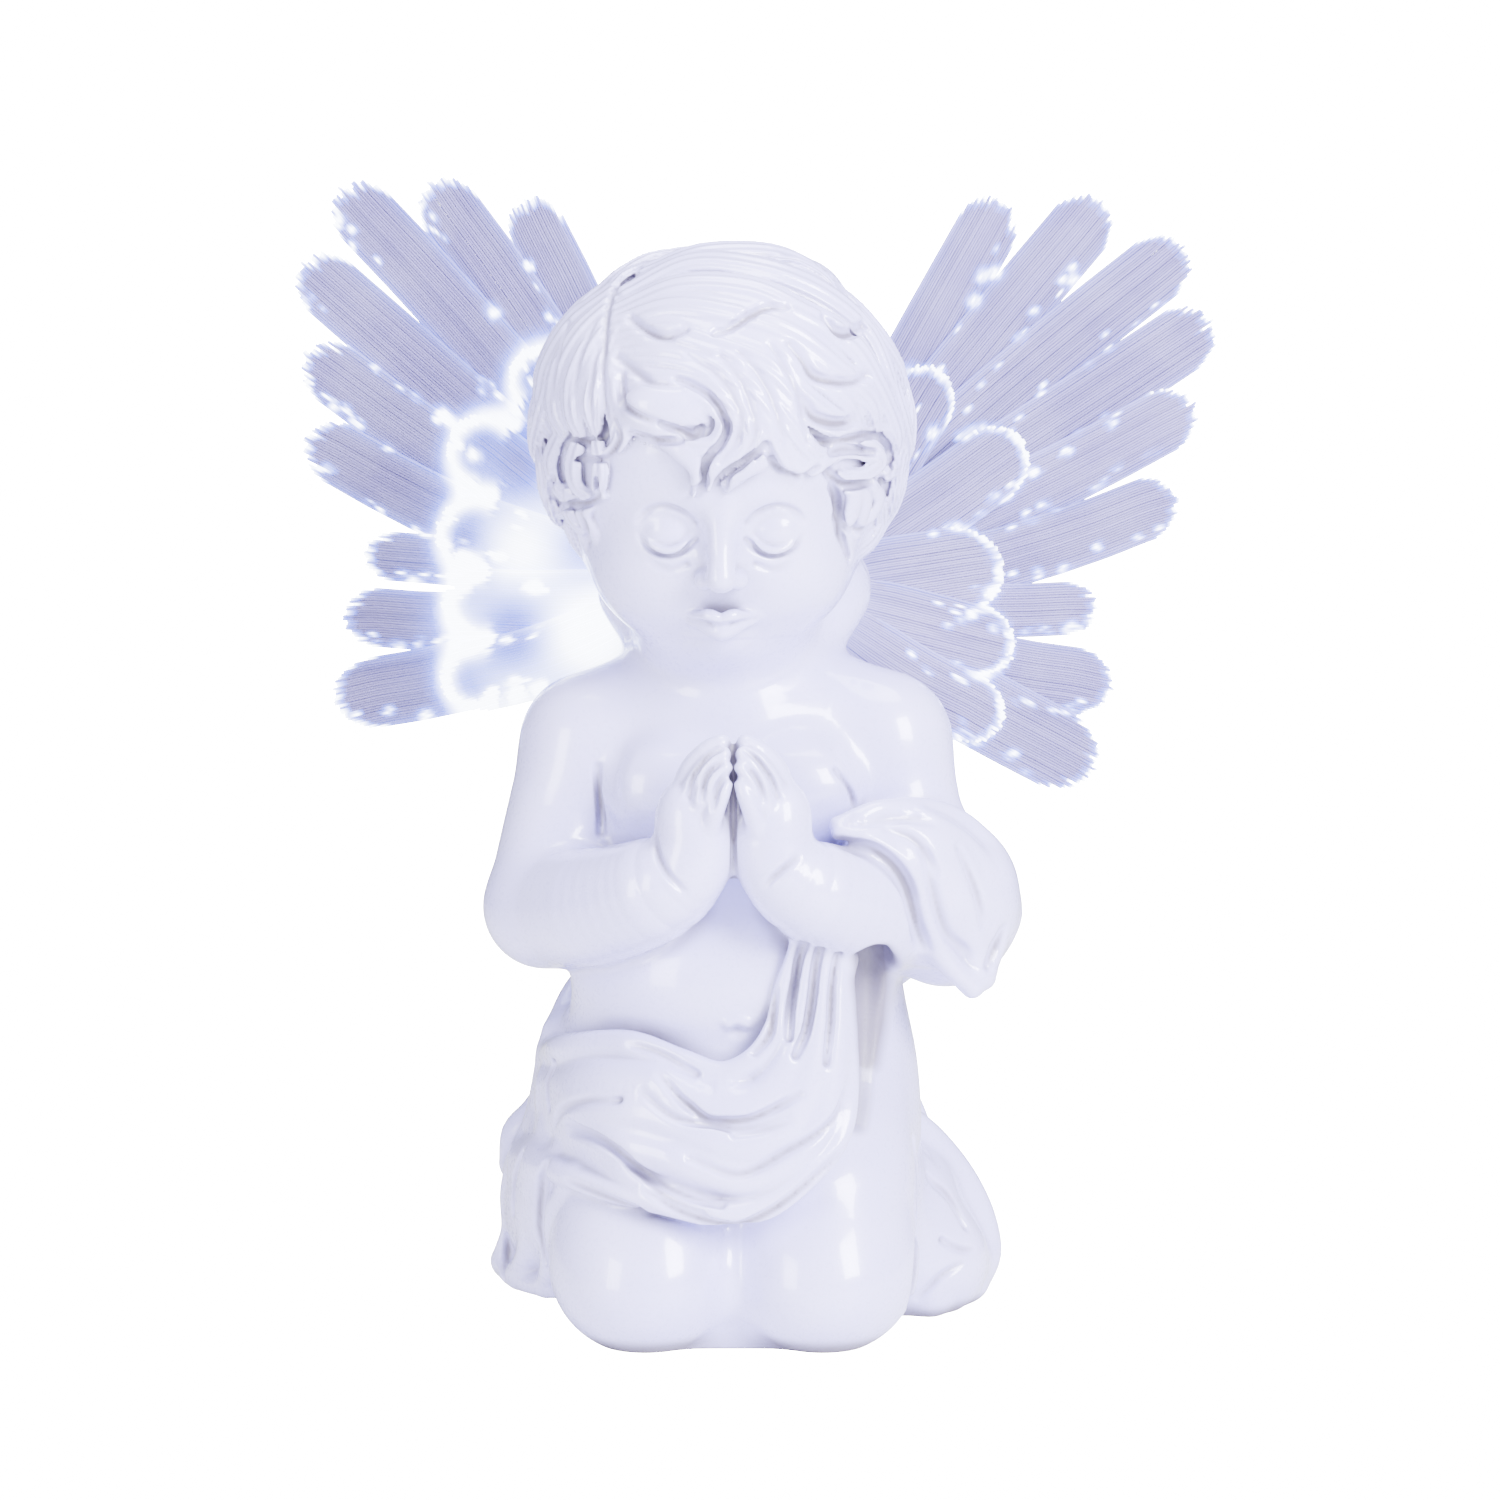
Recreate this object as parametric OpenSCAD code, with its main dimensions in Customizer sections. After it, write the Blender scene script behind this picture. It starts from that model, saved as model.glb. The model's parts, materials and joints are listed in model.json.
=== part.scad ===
// Light-up angel figurine: a hollow resin cherub, kneeling in prayer, with two fans
// of optical-fibre feathers on its back and a solar power module below them.
// Millimetres. +Z is up and the figure faces -Y. The origin lies on the table, under the body.

/* [Figure] */
// Height from the table to the top of the hair
figure_height = 273; // [265:1:280]
// Half the distance between the knees' centres
knee_spread = 21.5; // [20:0.5:23]
// Wall thickness of the cast resin
wall = 5.5; // [4:0.5:8]

/* [Wings] */
// Height of the wing hubs above the table
hub_height = 183; // [178:1:188]
// Distance of each wing hub from the middle plane
hub_offset = 17; // [15:0.5:20]
// Angle that each wing is swept back by
wing_sweep = 15; // [8:1:22]
// Angle that each wing leans back by
wing_lean = 5; // [0:1:10]
// Thickness of one layer of optical fibre
fibre = 0.75; // [0.5:0.05:0.8]

/* [Power module] */
// Tilt of the solar panel back from upright
panel_tilt = 20; // [12:1:25]
// Width and height of the solar panel
panel_size = 50; // [44:1:50]
// Travel of the switch knob
switch_travel = 2; // [1.5:0.1:2.5]

/* [Hidden] */
$fn = 22;
fine = 48;
ball_fn = 12;
curl_fn = 10;
gap = 0.1;

// Each wing's feathers, from the top one at the back to the lowest one in front:
// [angle up from level, reach, width, bend of the tip upwards]. Nine long ones, then five short covers.
left_wing = [
    [59, 122, 17, -1], [49, 138, 17.5, -2], [39, 146, 18, -4], [31, 140, 18, 1], [23.5, 124.5, 17, 4.5],
    [13, 111, 16.5, 10], [-3, 85, 14, 7], [-16, 92, 18, 12], [-30, 95.5, 21.5, 4],
    [55, 72, 18, 5], [32, 75.5, 20, 4], [7, 58, 24, 3], [-15, 62, 18.5, 0], [-32, 66, 18.5, 12]
];
right_wing = [
    [65.5, 114.5, 16, -7], [56, 131, 17, -7], [47.5, 145.5, 17.5, -4.5], [39, 139, 17.5, 0], [31, 123.5, 17, 5],
    [21.5, 112.5, 16.5, 9], [6, 88, 13, -4], [-4, 93, 15.5, 11], [-17, 99, 19, 11],
    [56, 77.5, 18, 2], [35, 75.5, 20, 4.5], [15.5, 68, 22, 4.5], [-2.5, 63.5, 19, 9], [-20.5, 68, 19, 16]
];
long_count = 9;
feather_count = len(left_wing);
layer_pitch = 0.9;
hub_y = 38;
hub_r = 11;
hub_plate = 1.6;
core_r = 5;
root_r = core_r + 0.3;
root_w = 6;
stack_t = feather_count * layer_pitch;
spigot_r = 6;
spigot_length = 12;
spigot_bore_r = 4.2;
lamp_r = 2.5;
lamp_clear = 0.4;

// Power module, in its own frame: +Y out of the figure's back, Z up the panel
module_at = [0, 53, 66];
flange = [64, 2, 94];
case_box = [54, 16, 88];
panel_z = 19;
glass_t = 2;
cell_t = 1.2;
door = [48, 1.8, 26.2];
door_z = -43.4;
hinge_z = door_z + door[1] / 2;
hinge_y = flange[1] / 2;
pin_r = 0.7;
pin_length = 1.5;
battery_r = 5.2;
battery_length = 44.5;
battery_z = -31;
battery_y = -7.5;
switch_z = -10.5;
knob = [2.6, 4.2, 1.8];
screw_x = 29.8;
screw_z = 44;
screw_r = 1.3;

// Base closure
seat = [64, 76];
seat_y = 10;
seat_r = 14;
ledge = 6;
plate_t = 2.5;
felt_t = 1.5;

sides = [[1, "left"], [-1, "right"]];
wing_nodes = [for (s = sides) for (n = ["wing_bracket", "light_core", "lamp", "wing_cap", "lamp_lead"])
    str(s[1], "_", n)];
feather_nodes = [for (s = sides) for (i = [0:feather_count - 1]) feather_name(s[1], i)];

function feather_name(side, i) = i < long_count
    ? str(side, "_feather_", i + 1)
    : str(side, "_cover_feather_", i + 1 - long_count);

// Where a point of a wing's own frame, or of the power module's, lies on the figure
function tilt(p, a) = [p[0], p[1] * cos(a) - p[2] * sin(a), p[1] * sin(a) + p[2] * cos(a)];
function turn(p, a) = [p[0] * cos(a) - p[1] * sin(a), p[0] * sin(a) + p[1] * cos(a), p[2]];
function wing_point(side, p) = [side * hub_offset, hub_y, hub_height] + turn(tilt(p, -wing_lean), side * wing_sweep);
function module_point(p) = module_at + tilt(p, panel_tilt);

// ---------- Shared shapes ----------
module ball(p, r, fn = ball_fn) {
    translate(p) sphere(r, $fn = fn);
}

module egg(p, r, fn = $fn) {
    translate(p) scale(r) sphere(1, $fn = fn);
}

module limb(a, ra, b, rb, fn = ball_fn) {
    hull() {
        ball(a, ra, fn);
        ball(b, rb, fn);
    }
}

// A roll of cloth or hair through points [x, y, z, radius]
module roll(points, fn = curl_fn) {
    for (i = [0:len(points) - 2]) {
        a = points[i];
        b = points[i + 1];
        limb([a[0], a[1], a[2]], a[3], [b[0], b[1], b[2]], b[3], fn);
    }
}

// A panel of cloth stretched over points [x, y, z, radius]
module panel(points, fn = curl_fn) {
    hull() for (p = points) ball([p[0], p[1], p[2]], p[3], fn);
}

module both_sides() {
    for (m = [0, 1]) mirror([m, 0, 0]) children();
}

module bar(size, at) {
    translate(at - [size[0] / 2, 0, size[2] / 2]) cube(size);
}

module seat_plate(size, r, z, h) {
    translate([0, seat_y, z]) {
        translate([-size[0] / 2 + r, -size[1] / 2, 0]) cube([size[0] - 2 * r, size[1], h]);
        translate([-size[0] / 2, -size[1] / 2 + r, 0]) cube([size[0], size[1] - 2 * r, h]);
        for (x = [-1, 1]) for (y = [-1, 1])
            translate([x * (size[0] / 2 - r), y * (size[1] / 2 - r), 0]) cylinder(h, r = r, $fn = fine);
    }
}

// ---------- Frames ----------
module wing_frame(side) {
    translate([side * hub_offset, hub_y, hub_height]) rotate([0, 0, side * wing_sweep])
        rotate([-wing_lean, 0, 0]) mirror([side < 0 ? 1 : 0, 0, 0]) children();
}

module module_frame() {
    translate(module_at) rotate([panel_tilt, 0, 0]) children();
}

// A disc or tube on the wing frame's Y axis
module disc(r, y, h) {
    translate([0, y, 0]) rotate([-90, 0, 0]) cylinder(h, r = r, $fn = fine);
}

// ---------- Figurine casting ----------
module legs() {
    both_sides() {
        limb([knee_spread - 0.5, -4, 60], 24, [knee_spread, -23, 23], 22.5);
        limb([knee_spread, -20, 17], 17, [knee_spread - 2, 46, 14], 13);
        limb([knee_spread - 2, 46, 14], 12, [knee_spread - 1, 66, 8], 8);
    }
}

module torso() {
    egg([0, -14, 26], [24, 26, 28]);
    hull() {
        egg([0, 4, 60], [43, 32, 24]);
        egg([0, -3, 88], [42, 34, 28]);
    }
    hull() {
        egg([0, -2, 94], [40, 32, 26]);
        egg([0, 3, 134], [38, 25, 24]);
    }
    hull() {
        ball([-35, 5, 149], 14.5);
        ball([34, 5, 147], 14.5);
        egg([0, 4, 140], [34, 22, 22]);
    }
    limb([0, 8, 152], 20, [-2, 8, 180], 17);
}

module arms() {
    limb([-37, 4, 149], 14.5, [-47, -6, 108], 14.5);
    limb([-47, -8, 107], 14, [-14, -42, 123], 9.5);
    limb([36, 4, 147], 14.5, [44, -6, 110], 15);
    limb([44, -8, 108], 15, [14, -42, 122], 9.5);
}

module hands() {
    both_sides() panel([[10, -44, 123, 8], [6, -53, 124, 5], [4, -50, 150, 4], [3, -44, 154, 3.5]]);
}

module head() {
    egg([-3, 0, 222], [41, 42, 42]);
    hull() {
        egg([-3, -10, 200], [30, 33, 22]);
        egg([-3, -20, 184], [21, 19, 13]);
    }
    ball([-17, -29, 189], 12);
    ball([11, -29, 189], 12);
    limb([-3, -42, 202], 3, [-3, -47, 191], 4);
    ball([-3, -37, 178], 6);
}

module hair() {
    top = figure_height;
    egg([-3, 5, top - 45], [47, 43, 45]);
    // Curls: [x, y, z, radius]
    for (c = [[-41, -8, 232, 10], [-42, -4, 216, 9], [-37, -6, 204, 7], [-40, 12, 210, 10], [35, -14, 236, 11],
              [37, -10, 221, 9], [36, -4, 205, 8], [36, 12, 210, 10], [-24, -34, 236, 8], [-6, -37, 232, 8],
              [8, -37, 229, 8], [22, -32, 230, 9], [-22, -18, 256, 10], [16, -16, 259, 10], [0, 36, 240, 12],
              [-26, 28, 232, 12], [22, 29, 230, 12], [-16, 30, 209, 11], [10, 30, 209, 11], [-3, 29, 197, 9]])
        ball([c[0], c[1], c[2]], c[3], curl_fn);
}

module drape() {
    // Wrap round the hips and thighs
    hull() {
        egg([0, 6, 68], [47, 36, 14], 24);
        egg([0, 10, 50], [48, 38, 12], 24);
    }
    // Rolls across the lap and up to the left forearm
    roll([[-47, -6, 74, 5], [-30, -34, 68, 5], [-6, -42, 62, 5], [12, -40, 70, 5], [20, -38, 100, 5]]);
    roll([[-50, -4, 62, 6], [-36, -36, 58, 6], [-8, -44, 42, 6], [18, -42, 50, 6], [28, -34, 66, 5],
          [28, -34, 98, 5]]);
    panel([[-30, -32, 64, 6], [0, -38, 48, 6], [22, -36, 60, 6], [24, -34, 96, 5], [12, -34, 72, 5]]);
    // Folds that fall to the table on both sides
    panel([[-46, 4, 72, 8], [-54, 24, 42, 7], [-57, 30, 8, 8], [-46, 6, 14, 10], [-40, 50, 12, 12]]);
    panel([[44, 14, 62, 8], [50, 34, 36, 8], [59, 40, 9, 9], [44, 8, 12, 12], [42, 54, 12, 12]]);
    panel([[-36, 30, 60, 10], [36, 30, 60, 10], [-38, 56, 12, 12], [38, 58, 12, 12], [0, 40, 60, 14]]);
    // Sleeve over the left elbow, with its hanging corner
    panel([[44, 0, 130, 13], [52, 0, 110, 16], [60, -2, 104, 11], [46, -10, 106, 16]]);
    roll([[58, -6, 104, 9], [62, -10, 94, 6], [64, -10, 88, 5]]);
    // Cloth across the back, from the left elbow to the right hip
    panel([[44, 8, 118, 9], [24, 26, 104, 8], [-34, 26, 78, 9], [-36, 28, 66, 8], [34, 24, 84, 8]]);
}

module wing_boss() {
    hull() {
        for (side = [1, -1]) wing_frame(side) disc(hub_r + 1.5, -16, 15.95);
        egg([0, 12, 160], [26, 12, 20], 20);
        ball([0, 8, 178], 15);
    }
}

module module_pad() {
    module_frame() bar([flange[0] + 8, 14, flange[2] + 8], [0, -14, 0]);
}

module casting_hollow() {
    hull() {
        egg([0, 6, 60], [43 - wall, 30 - wall, 24]);
        egg([0, 0, 92], [40 - wall, 30 - wall, 26]);
    }
    hull() {
        egg([0, 4, 94], [36 - wall, 30 - wall, 26]);
        egg([0, 6, 142], [30 - wall, 24 - wall, 20]);
    }
    hull() {
        egg([0, 6, 66], [30, 20, 24]);
        translate([0, seat_y, -1]) linear_extrude(12) square([seat[0] - 3 * ledge, seat[1] - 3 * ledge], center = true);
    }
    limb([0, 8, 140], 12, [-2, 8, 186], 10);
    egg([-3, 3, 226], [40 - wall, 40 - wall, 38 - wall]);
    both_sides() limb([19, -2, 54], 23 - wall, [19, -14, 26], 19 - wall);
    seat_plate(seat - [2 * ledge, 2 * ledge], seat_r - ledge, -1, 14);
    // Passages for the lamps' leads
    for (side = [1, -1]) limb(wing_point(side, [0, -11, 0]), 2.5, [side * 4, 10, 166], 2.5, 8);
    limb(module_point([0, -8, 42]), 4, [0, 12, 124], 4, 8);
}

module figurine_casting() {
    color([0.93, 0.93, 0.96]) difference() {
        union() {
            intersection() {
                union() {
                    legs();
                    torso();
                    arms();
                    hands();
                    head();
                    hair();
                    drape();
                    wing_boss();
                    module_pad();
                    seat_plate(seat + [10, 10], seat_r + 5, 0, 7);
                }
                translate([-100, -100, 0.3]) cube([200, 200, 300]);
            }
        }
        casting_hollow();
        seat_plate(seat, seat_r, -1, 1 + felt_t + plate_t);
        for (side = [1, -1]) wing_frame(side) {
            disc(hub_r + 1, 0, 30);
            disc(spigot_r + 0.1, -spigot_length - 0.2, spigot_length + 5);
        }
        module_frame() {
            bar([flange[0] + 1, 30, flange[2] + 1], [0, -gap / 2 - 0.8, 0]);
            bar([case_box[0] + 1, 40, case_box[2] + 1], [0, -case_box[1] - 1, 0]);
            module_screw_holes();
        }
    }
}

module module_screw_holes() {
    for (x = [-1, 1]) for (z = [-1, 1])
        translate([x * screw_x, 0, z * screw_z]) disc(0.9, -9, 10);
}

// ---------- Base ----------
module base_plate() {
    color([0.85, 0.85, 0.87]) seat_plate(seat - [0.4, 0.4], seat_r - 0.2, felt_t + 0.05, plate_t - 0.1);
}

module base_felt() {
    color([0.25, 0.26, 0.28]) seat_plate(seat - [1, 1], seat_r - 0.5, 0, felt_t);
}

// ---------- Wings ----------
module wing_bracket(side) {
    color([0.93, 0.93, 0.95]) wing_frame(side) difference() {
        union() {
            disc(hub_r, 0, hub_plate);
            disc(spigot_r, -spigot_length, spigot_length + 0.5);
        }
        disc(spigot_bore_r, -spigot_length - 1, spigot_length);
        disc(lamp_r + lamp_clear, -2, hub_plate + 3);
    }
}

module light_core(side) {
    color([0.85, 0.95, 1.0, 0.5]) wing_frame(side) difference() {
        disc(core_r, hub_plate, stack_t + 0.1);
        disc(lamp_r + lamp_clear, hub_plate - 1, 9);
    }
}

// A 5 mm lamp: body, dome, collar and two leads
module lamp(side) {
    color([0.95, 0.97, 1.0]) wing_frame(side) {
        disc(lamp_r, -1, 6);
        translate([0, 5, 0]) sphere(lamp_r, $fn = ball_fn);
        disc(lamp_r + 0.4, -2, 1);
        for (x = [-1.27, 1.27]) translate([x, 0, 0]) disc(0.3, -9, 7.2);
    }
}

module wing_cap(side) {
    color([0.93, 0.93, 0.95]) wing_frame(side) translate([0, hub_plate + stack_t + 0.1, 0]) rotate([-90, 0, 0]) {
        cylinder(hub_plate, r = hub_r, $fn = fine);
        translate([0, 0, hub_plate]) cylinder(1.2, r1 = hub_r, r2 = hub_r - 2, $fn = fine);
    }
}

// Lead from a lamp, down inside the hollow body to the power module
module lamp_lead(side) {
    route = [wing_point(side, [0, -10, 0]), wing_point(side, [0, -11.5, 0]), [side * 4, 10, 166],
             [side * 5, 8, 138], [side * 2, 12, 124], module_point([side * 1.5, -8, 42]),
             module_point([side * 1.5, -8, 34])];
    color([0.8, 0.1, 0.1]) for (i = [0:len(route) - 2]) {
        way = route[i + 1] - route[i];
        translate(route[i]) {
            sphere(0.8, $fn = 8);
            rotate([0, acos(way[2] / norm(way)), atan2(way[1], way[0])]) cylinder(norm(way), r = 0.8, $fn = 8);
        }
    }
}

// Half the width of a feather at a share s of its reach, where its round tip starts at share e
function half_width(f, s, e) = (root_w + (f[2] - root_w) * sin(90 * min(1, s / 0.45))) / 2
    * (s > e ? sqrt(max(0, 1 - pow((s - e) / (1 - e), 2))) : 1);

// A point on a feather's edge: the feather bends in a shallow curve from its root to its tip
function edge_point(f, s, e, way) = let (b = tan(f[3]), a = atan(b * (2 * s - 1)), h = way * half_width(f, s, e))
    [f[1] * s - h * sin(a), -f[1] * b * s * (1 - s) + h * cos(a)];

module feather_outline(f) {
    e = 1 - 0.65 * f[2] / f[1];
    shares = concat([for (i = [0:7]) root_r / f[1] + (e - root_r / f[1]) * i / 7],
        [for (a = [15:15:75]) e + (1 - e) * sin(a)]);
    n = len(shares);
    polygon(concat([for (i = [0:n - 1]) edge_point(f, shares[i], e, 1)], [edge_point(f, 1, e, 0)],
        [for (i = [n - 1:-1:0]) edge_point(f, shares[i], e, -1)]));
}

module feather(side, i) {
    f = side > 0 ? left_wing[i] : right_wing[i];
    color([0.78, 0.78, 0.88]) wing_frame(side)
        translate([0, hub_plate + 0.1 + (feather_count - 1 - i) * layer_pitch + fibre, 0]) rotate([90, 0, 0])
            linear_extrude(fibre) rotate(f[0]) feather_outline(f);
}

// ---------- Power module ----------
module module_case() {
    color([0.9, 0.9, 0.92]) module_frame() difference() {
        union() {
            bar(flange, [0, 0, 0]);
            bar(case_box, [0, -case_box[1], 0]);
        }
        // Panel recess, and the room behind it for the circuit board
        bar([panel_size + 0.4, 10, panel_size + 0.4], [0, flange[1] - glass_t - cell_t, panel_z]);
        bar([44, 9, 40], [0, -12, panel_z]);
        // Battery bay and the door's recess
        bar([49, 16, 12.5], [0, -13.5, battery_z]);
        bar([door[0] + 0.4, 10, door[2] + 0.4], [0, 0, door_z + door[2] / 2]);
        translate([0, hinge_y, hinge_z]) rotate([0, 90, 0])
            cylinder(door[0] + 2 * pin_length + 0.6, r = pin_r + 0.05, center = true, $fn = fine);
        // Finger notch above the door, switch slot, and screw holes
        translate([0, flange[1] + 1, door_z + door[2]]) rotate([90, 0, 0]) cylinder(2, r = 3.5, $fn = fine);
        bar([knob[0] + switch_travel + 0.4, 10, knob[2] + 0.2], [0, -0.6, switch_z]);
        bar([9.2, 6.2, 5.2], [0, -6, switch_z]);
        for (x = [-1, 1]) for (z = [-1, 1])
            translate([x * screw_x, 0, z * screw_z]) disc(screw_r, -1, 5);
        translate([0, -case_box[1] / 2, panel_z + 19]) cylinder(10, r = 3, $fn = fine);
    }
}

module module_gasket() {
    color([0.15, 0.15, 0.16]) module_frame() difference() {
        bar([flange[0], 0.7, flange[2]], [0, -0.75, 0]);
        bar([case_box[0] + 0.2, 2, case_box[2] + 0.2], [0, -1.5, 0]);
        for (x = [-1, 1]) for (z = [-1, 1])
            translate([x * screw_x, 0, z * screw_z]) disc(screw_r, -2, 4);
    }
}

module solar_cell() {
    color([0.06, 0.08, 0.2]) module_frame()
        bar([panel_size, cell_t - gap, panel_size], [0, flange[1] - glass_t - cell_t + gap / 2, panel_z]);
}

module panel_window() {
    color([0.8, 0.85, 0.9, 0.4]) module_frame()
        bar([panel_size, glass_t, panel_size], [0, flange[1] - glass_t, panel_z]);
}

module battery_door() {
    color([0.9, 0.9, 0.92]) module_frame() {
        bar([door[0], door[1], door[2] - door[1] / 2], [0, hinge_y - door[1] / 2, hinge_z + (door[2] - door[1] / 2) / 2]);
        translate([0, hinge_y, hinge_z]) rotate([0, 90, 0]) {
            cylinder(door[0], r = door[1] / 2, center = true, $fn = fine);
            cylinder(door[0] + 2 * pin_length, r = pin_r, center = true, $fn = fine);
        }
    }
}

module battery_cell() {
    color([0.2, 0.6, 0.35]) module_frame() translate([-20.8, battery_y, battery_z]) rotate([0, 90, 0]) {
        cylinder(battery_length - 1, r = battery_r, $fn = fine);
        cylinder(battery_length, r = 1.9, $fn = fine);
    }
}

// Points of the spring's wire: a ring of sides round each step of the coil
module spring_contact() {
    turns = 3;
    steps = 12;
    sides = 6;
    wire = 0.35;
    coil_r = 3;
    length = 2.6;
    n = turns * steps;
    rings = [for (i = [0:n]) for (j = [0:sides - 1]) let (a = 360 * i / steps, b = 360 * j / sides,
        r = coil_r + wire * cos(b)) [length * i / n + wire * sin(b), r * cos(a), r * sin(a)]];
    walls = [for (i = [0:n - 1]) for (j = [0:sides - 1]) let (k = (j + 1) % sides)
        [i * sides + j, i * sides + k, (i + 1) * sides + k, (i + 1) * sides + j]];
    color([0.8, 0.8, 0.78]) module_frame() {
        translate([-23.9, battery_y, battery_z]) polyhedron(rings, concat(
            walls, [[for (j = [sides - 1:-1:0]) j], [for (j = [0:sides - 1]) n * sides + j]]));
        bar([0.4, 9, 9], [-24.2, battery_y - 4.5, battery_z]);
    }
}

module plate_contact() {
    color([0.8, 0.8, 0.78]) module_frame() bar([0.5, 9, 9], [24.15, battery_y - 4.5, battery_z]);
}

module control_board() {
    color([0.1, 0.4, 0.2]) module_frame() {
        bar([42, 1.2, 38], [0, -11.8, panel_z]);
        bar([6, 1.6, 5], [-6, -10.6, panel_z + 4]);
        bar([3, 2.5, 3], [10, -10.6, panel_z - 6]);
        translate([8, 0, panel_z + 9]) disc(2.5, -10.6, 6);
    }
}

module switch_body() {
    color([0.6, 0.6, 0.62]) module_frame() bar([9, 4.4, 5], [0, -5.9, switch_z]);
}

module switch_knob() {
    color([0.1, 0.1, 0.11]) module_frame() {
        bar(knob, [-switch_travel / 2, -1.4, switch_z]);
        bar([4.4, 1.2, 4.2], [-switch_travel / 2, -1.4, switch_z]);
    }
}

module module_screws() {
    color([0.75, 0.75, 0.76]) module_frame() for (x = [-1, 1]) for (z = [-1, 1])
        translate([x * screw_x, 0, z * screw_z]) difference() {
            union() {
                disc(2.2, flange[1] + 0.05, 1.2);
                disc(0.85, -8, flange[1] + 8.1);
            }
            bar([2.8, 1, 0.6], [0, flange[1] + 0.7, 0]);
            bar([0.6, 1, 2.8], [0, flange[1] + 0.7, 0]);
        }
}

figurine_casting();
base_plate();
base_felt();
for (s = sides) {
    wing_bracket(s[0]);
    light_core(s[0]);
    lamp(s[0]);
    wing_cap(s[0]);
    lamp_lead(s[0]);
    for (i = [0:feather_count - 1])
        feather(s[0], i);
}
module_case();
module_gasket();
solar_cell();
panel_window();
battery_door();
battery_cell();
spring_contact();
plate_contact();
control_board();
switch_body();
switch_knob();
module_screws();
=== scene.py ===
import json
import math

import bpy
import numpy as np
import openvdb as vdb
from mathutils import Matrix, Vector


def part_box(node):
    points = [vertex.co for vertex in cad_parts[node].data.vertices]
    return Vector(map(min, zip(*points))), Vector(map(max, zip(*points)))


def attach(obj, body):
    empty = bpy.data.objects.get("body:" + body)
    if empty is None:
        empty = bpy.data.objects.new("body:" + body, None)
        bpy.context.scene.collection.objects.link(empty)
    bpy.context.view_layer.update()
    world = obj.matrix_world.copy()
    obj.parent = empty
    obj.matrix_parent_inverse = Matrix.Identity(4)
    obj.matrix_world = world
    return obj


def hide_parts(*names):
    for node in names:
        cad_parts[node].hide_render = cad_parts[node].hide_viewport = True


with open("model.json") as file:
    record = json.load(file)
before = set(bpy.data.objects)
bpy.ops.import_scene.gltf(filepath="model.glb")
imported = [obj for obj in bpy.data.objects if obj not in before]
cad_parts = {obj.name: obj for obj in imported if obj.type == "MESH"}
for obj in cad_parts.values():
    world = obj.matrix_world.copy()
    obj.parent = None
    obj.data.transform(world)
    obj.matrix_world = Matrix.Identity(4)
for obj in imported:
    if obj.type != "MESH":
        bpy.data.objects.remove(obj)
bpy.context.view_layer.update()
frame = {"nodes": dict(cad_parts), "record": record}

MM = 0.001
# Spacing of the clay's grid, and the distance that stands for empty space, in millimetres
GRAIN = 0.6
FAR = 24.0


def turned(ax=0.0, ay=0.0, az=0.0):
    """A turn about X, then Y, then Z, in degrees."""
    return np.array((Matrix.Rotation(math.radians(az), 3, "Z") @ Matrix.Rotation(math.radians(ay), 3, "Y")
                     @ Matrix.Rotation(math.radians(ax), 3, "X")))


def middle(node):
    """Middle of a CAD node's box, in millimetres."""
    low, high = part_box(node)
    return (np.array(low) + np.array(high)) / 2 / MM


# Frames of the two wings and of the power module, in millimetres, found from the nodes that sit in them
SWEEP, LEAN_BACK, PANEL_TILT = 15, 5, 20
CORE_START, CORE_LONG = 1.6, 12.7
CELL_BELOW_FACE, CELL_ABOVE_MIDDLE = 0.6, 19
HUBS = []
for side, s in (("left", 1), ("right", -1)):
    turn = turned(az=s * SWEEP) @ turned(ax=-LEAN_BACK)
    HUBS.append((middle(side + "_light_core") - turn @ np.array((0, CORE_START + CORE_LONG / 2, 0)), turn))
LEAN = turned(ax=PANEL_TILT)
MODULE_AT = middle("solar_cell") - LEAN @ np.array((0, -CELL_BELOW_FACE, CELL_ABOVE_MIDDLE))
FLANGE = np.array((64, 94))
SEAT_Y = middle("base_felt")[1]


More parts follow.
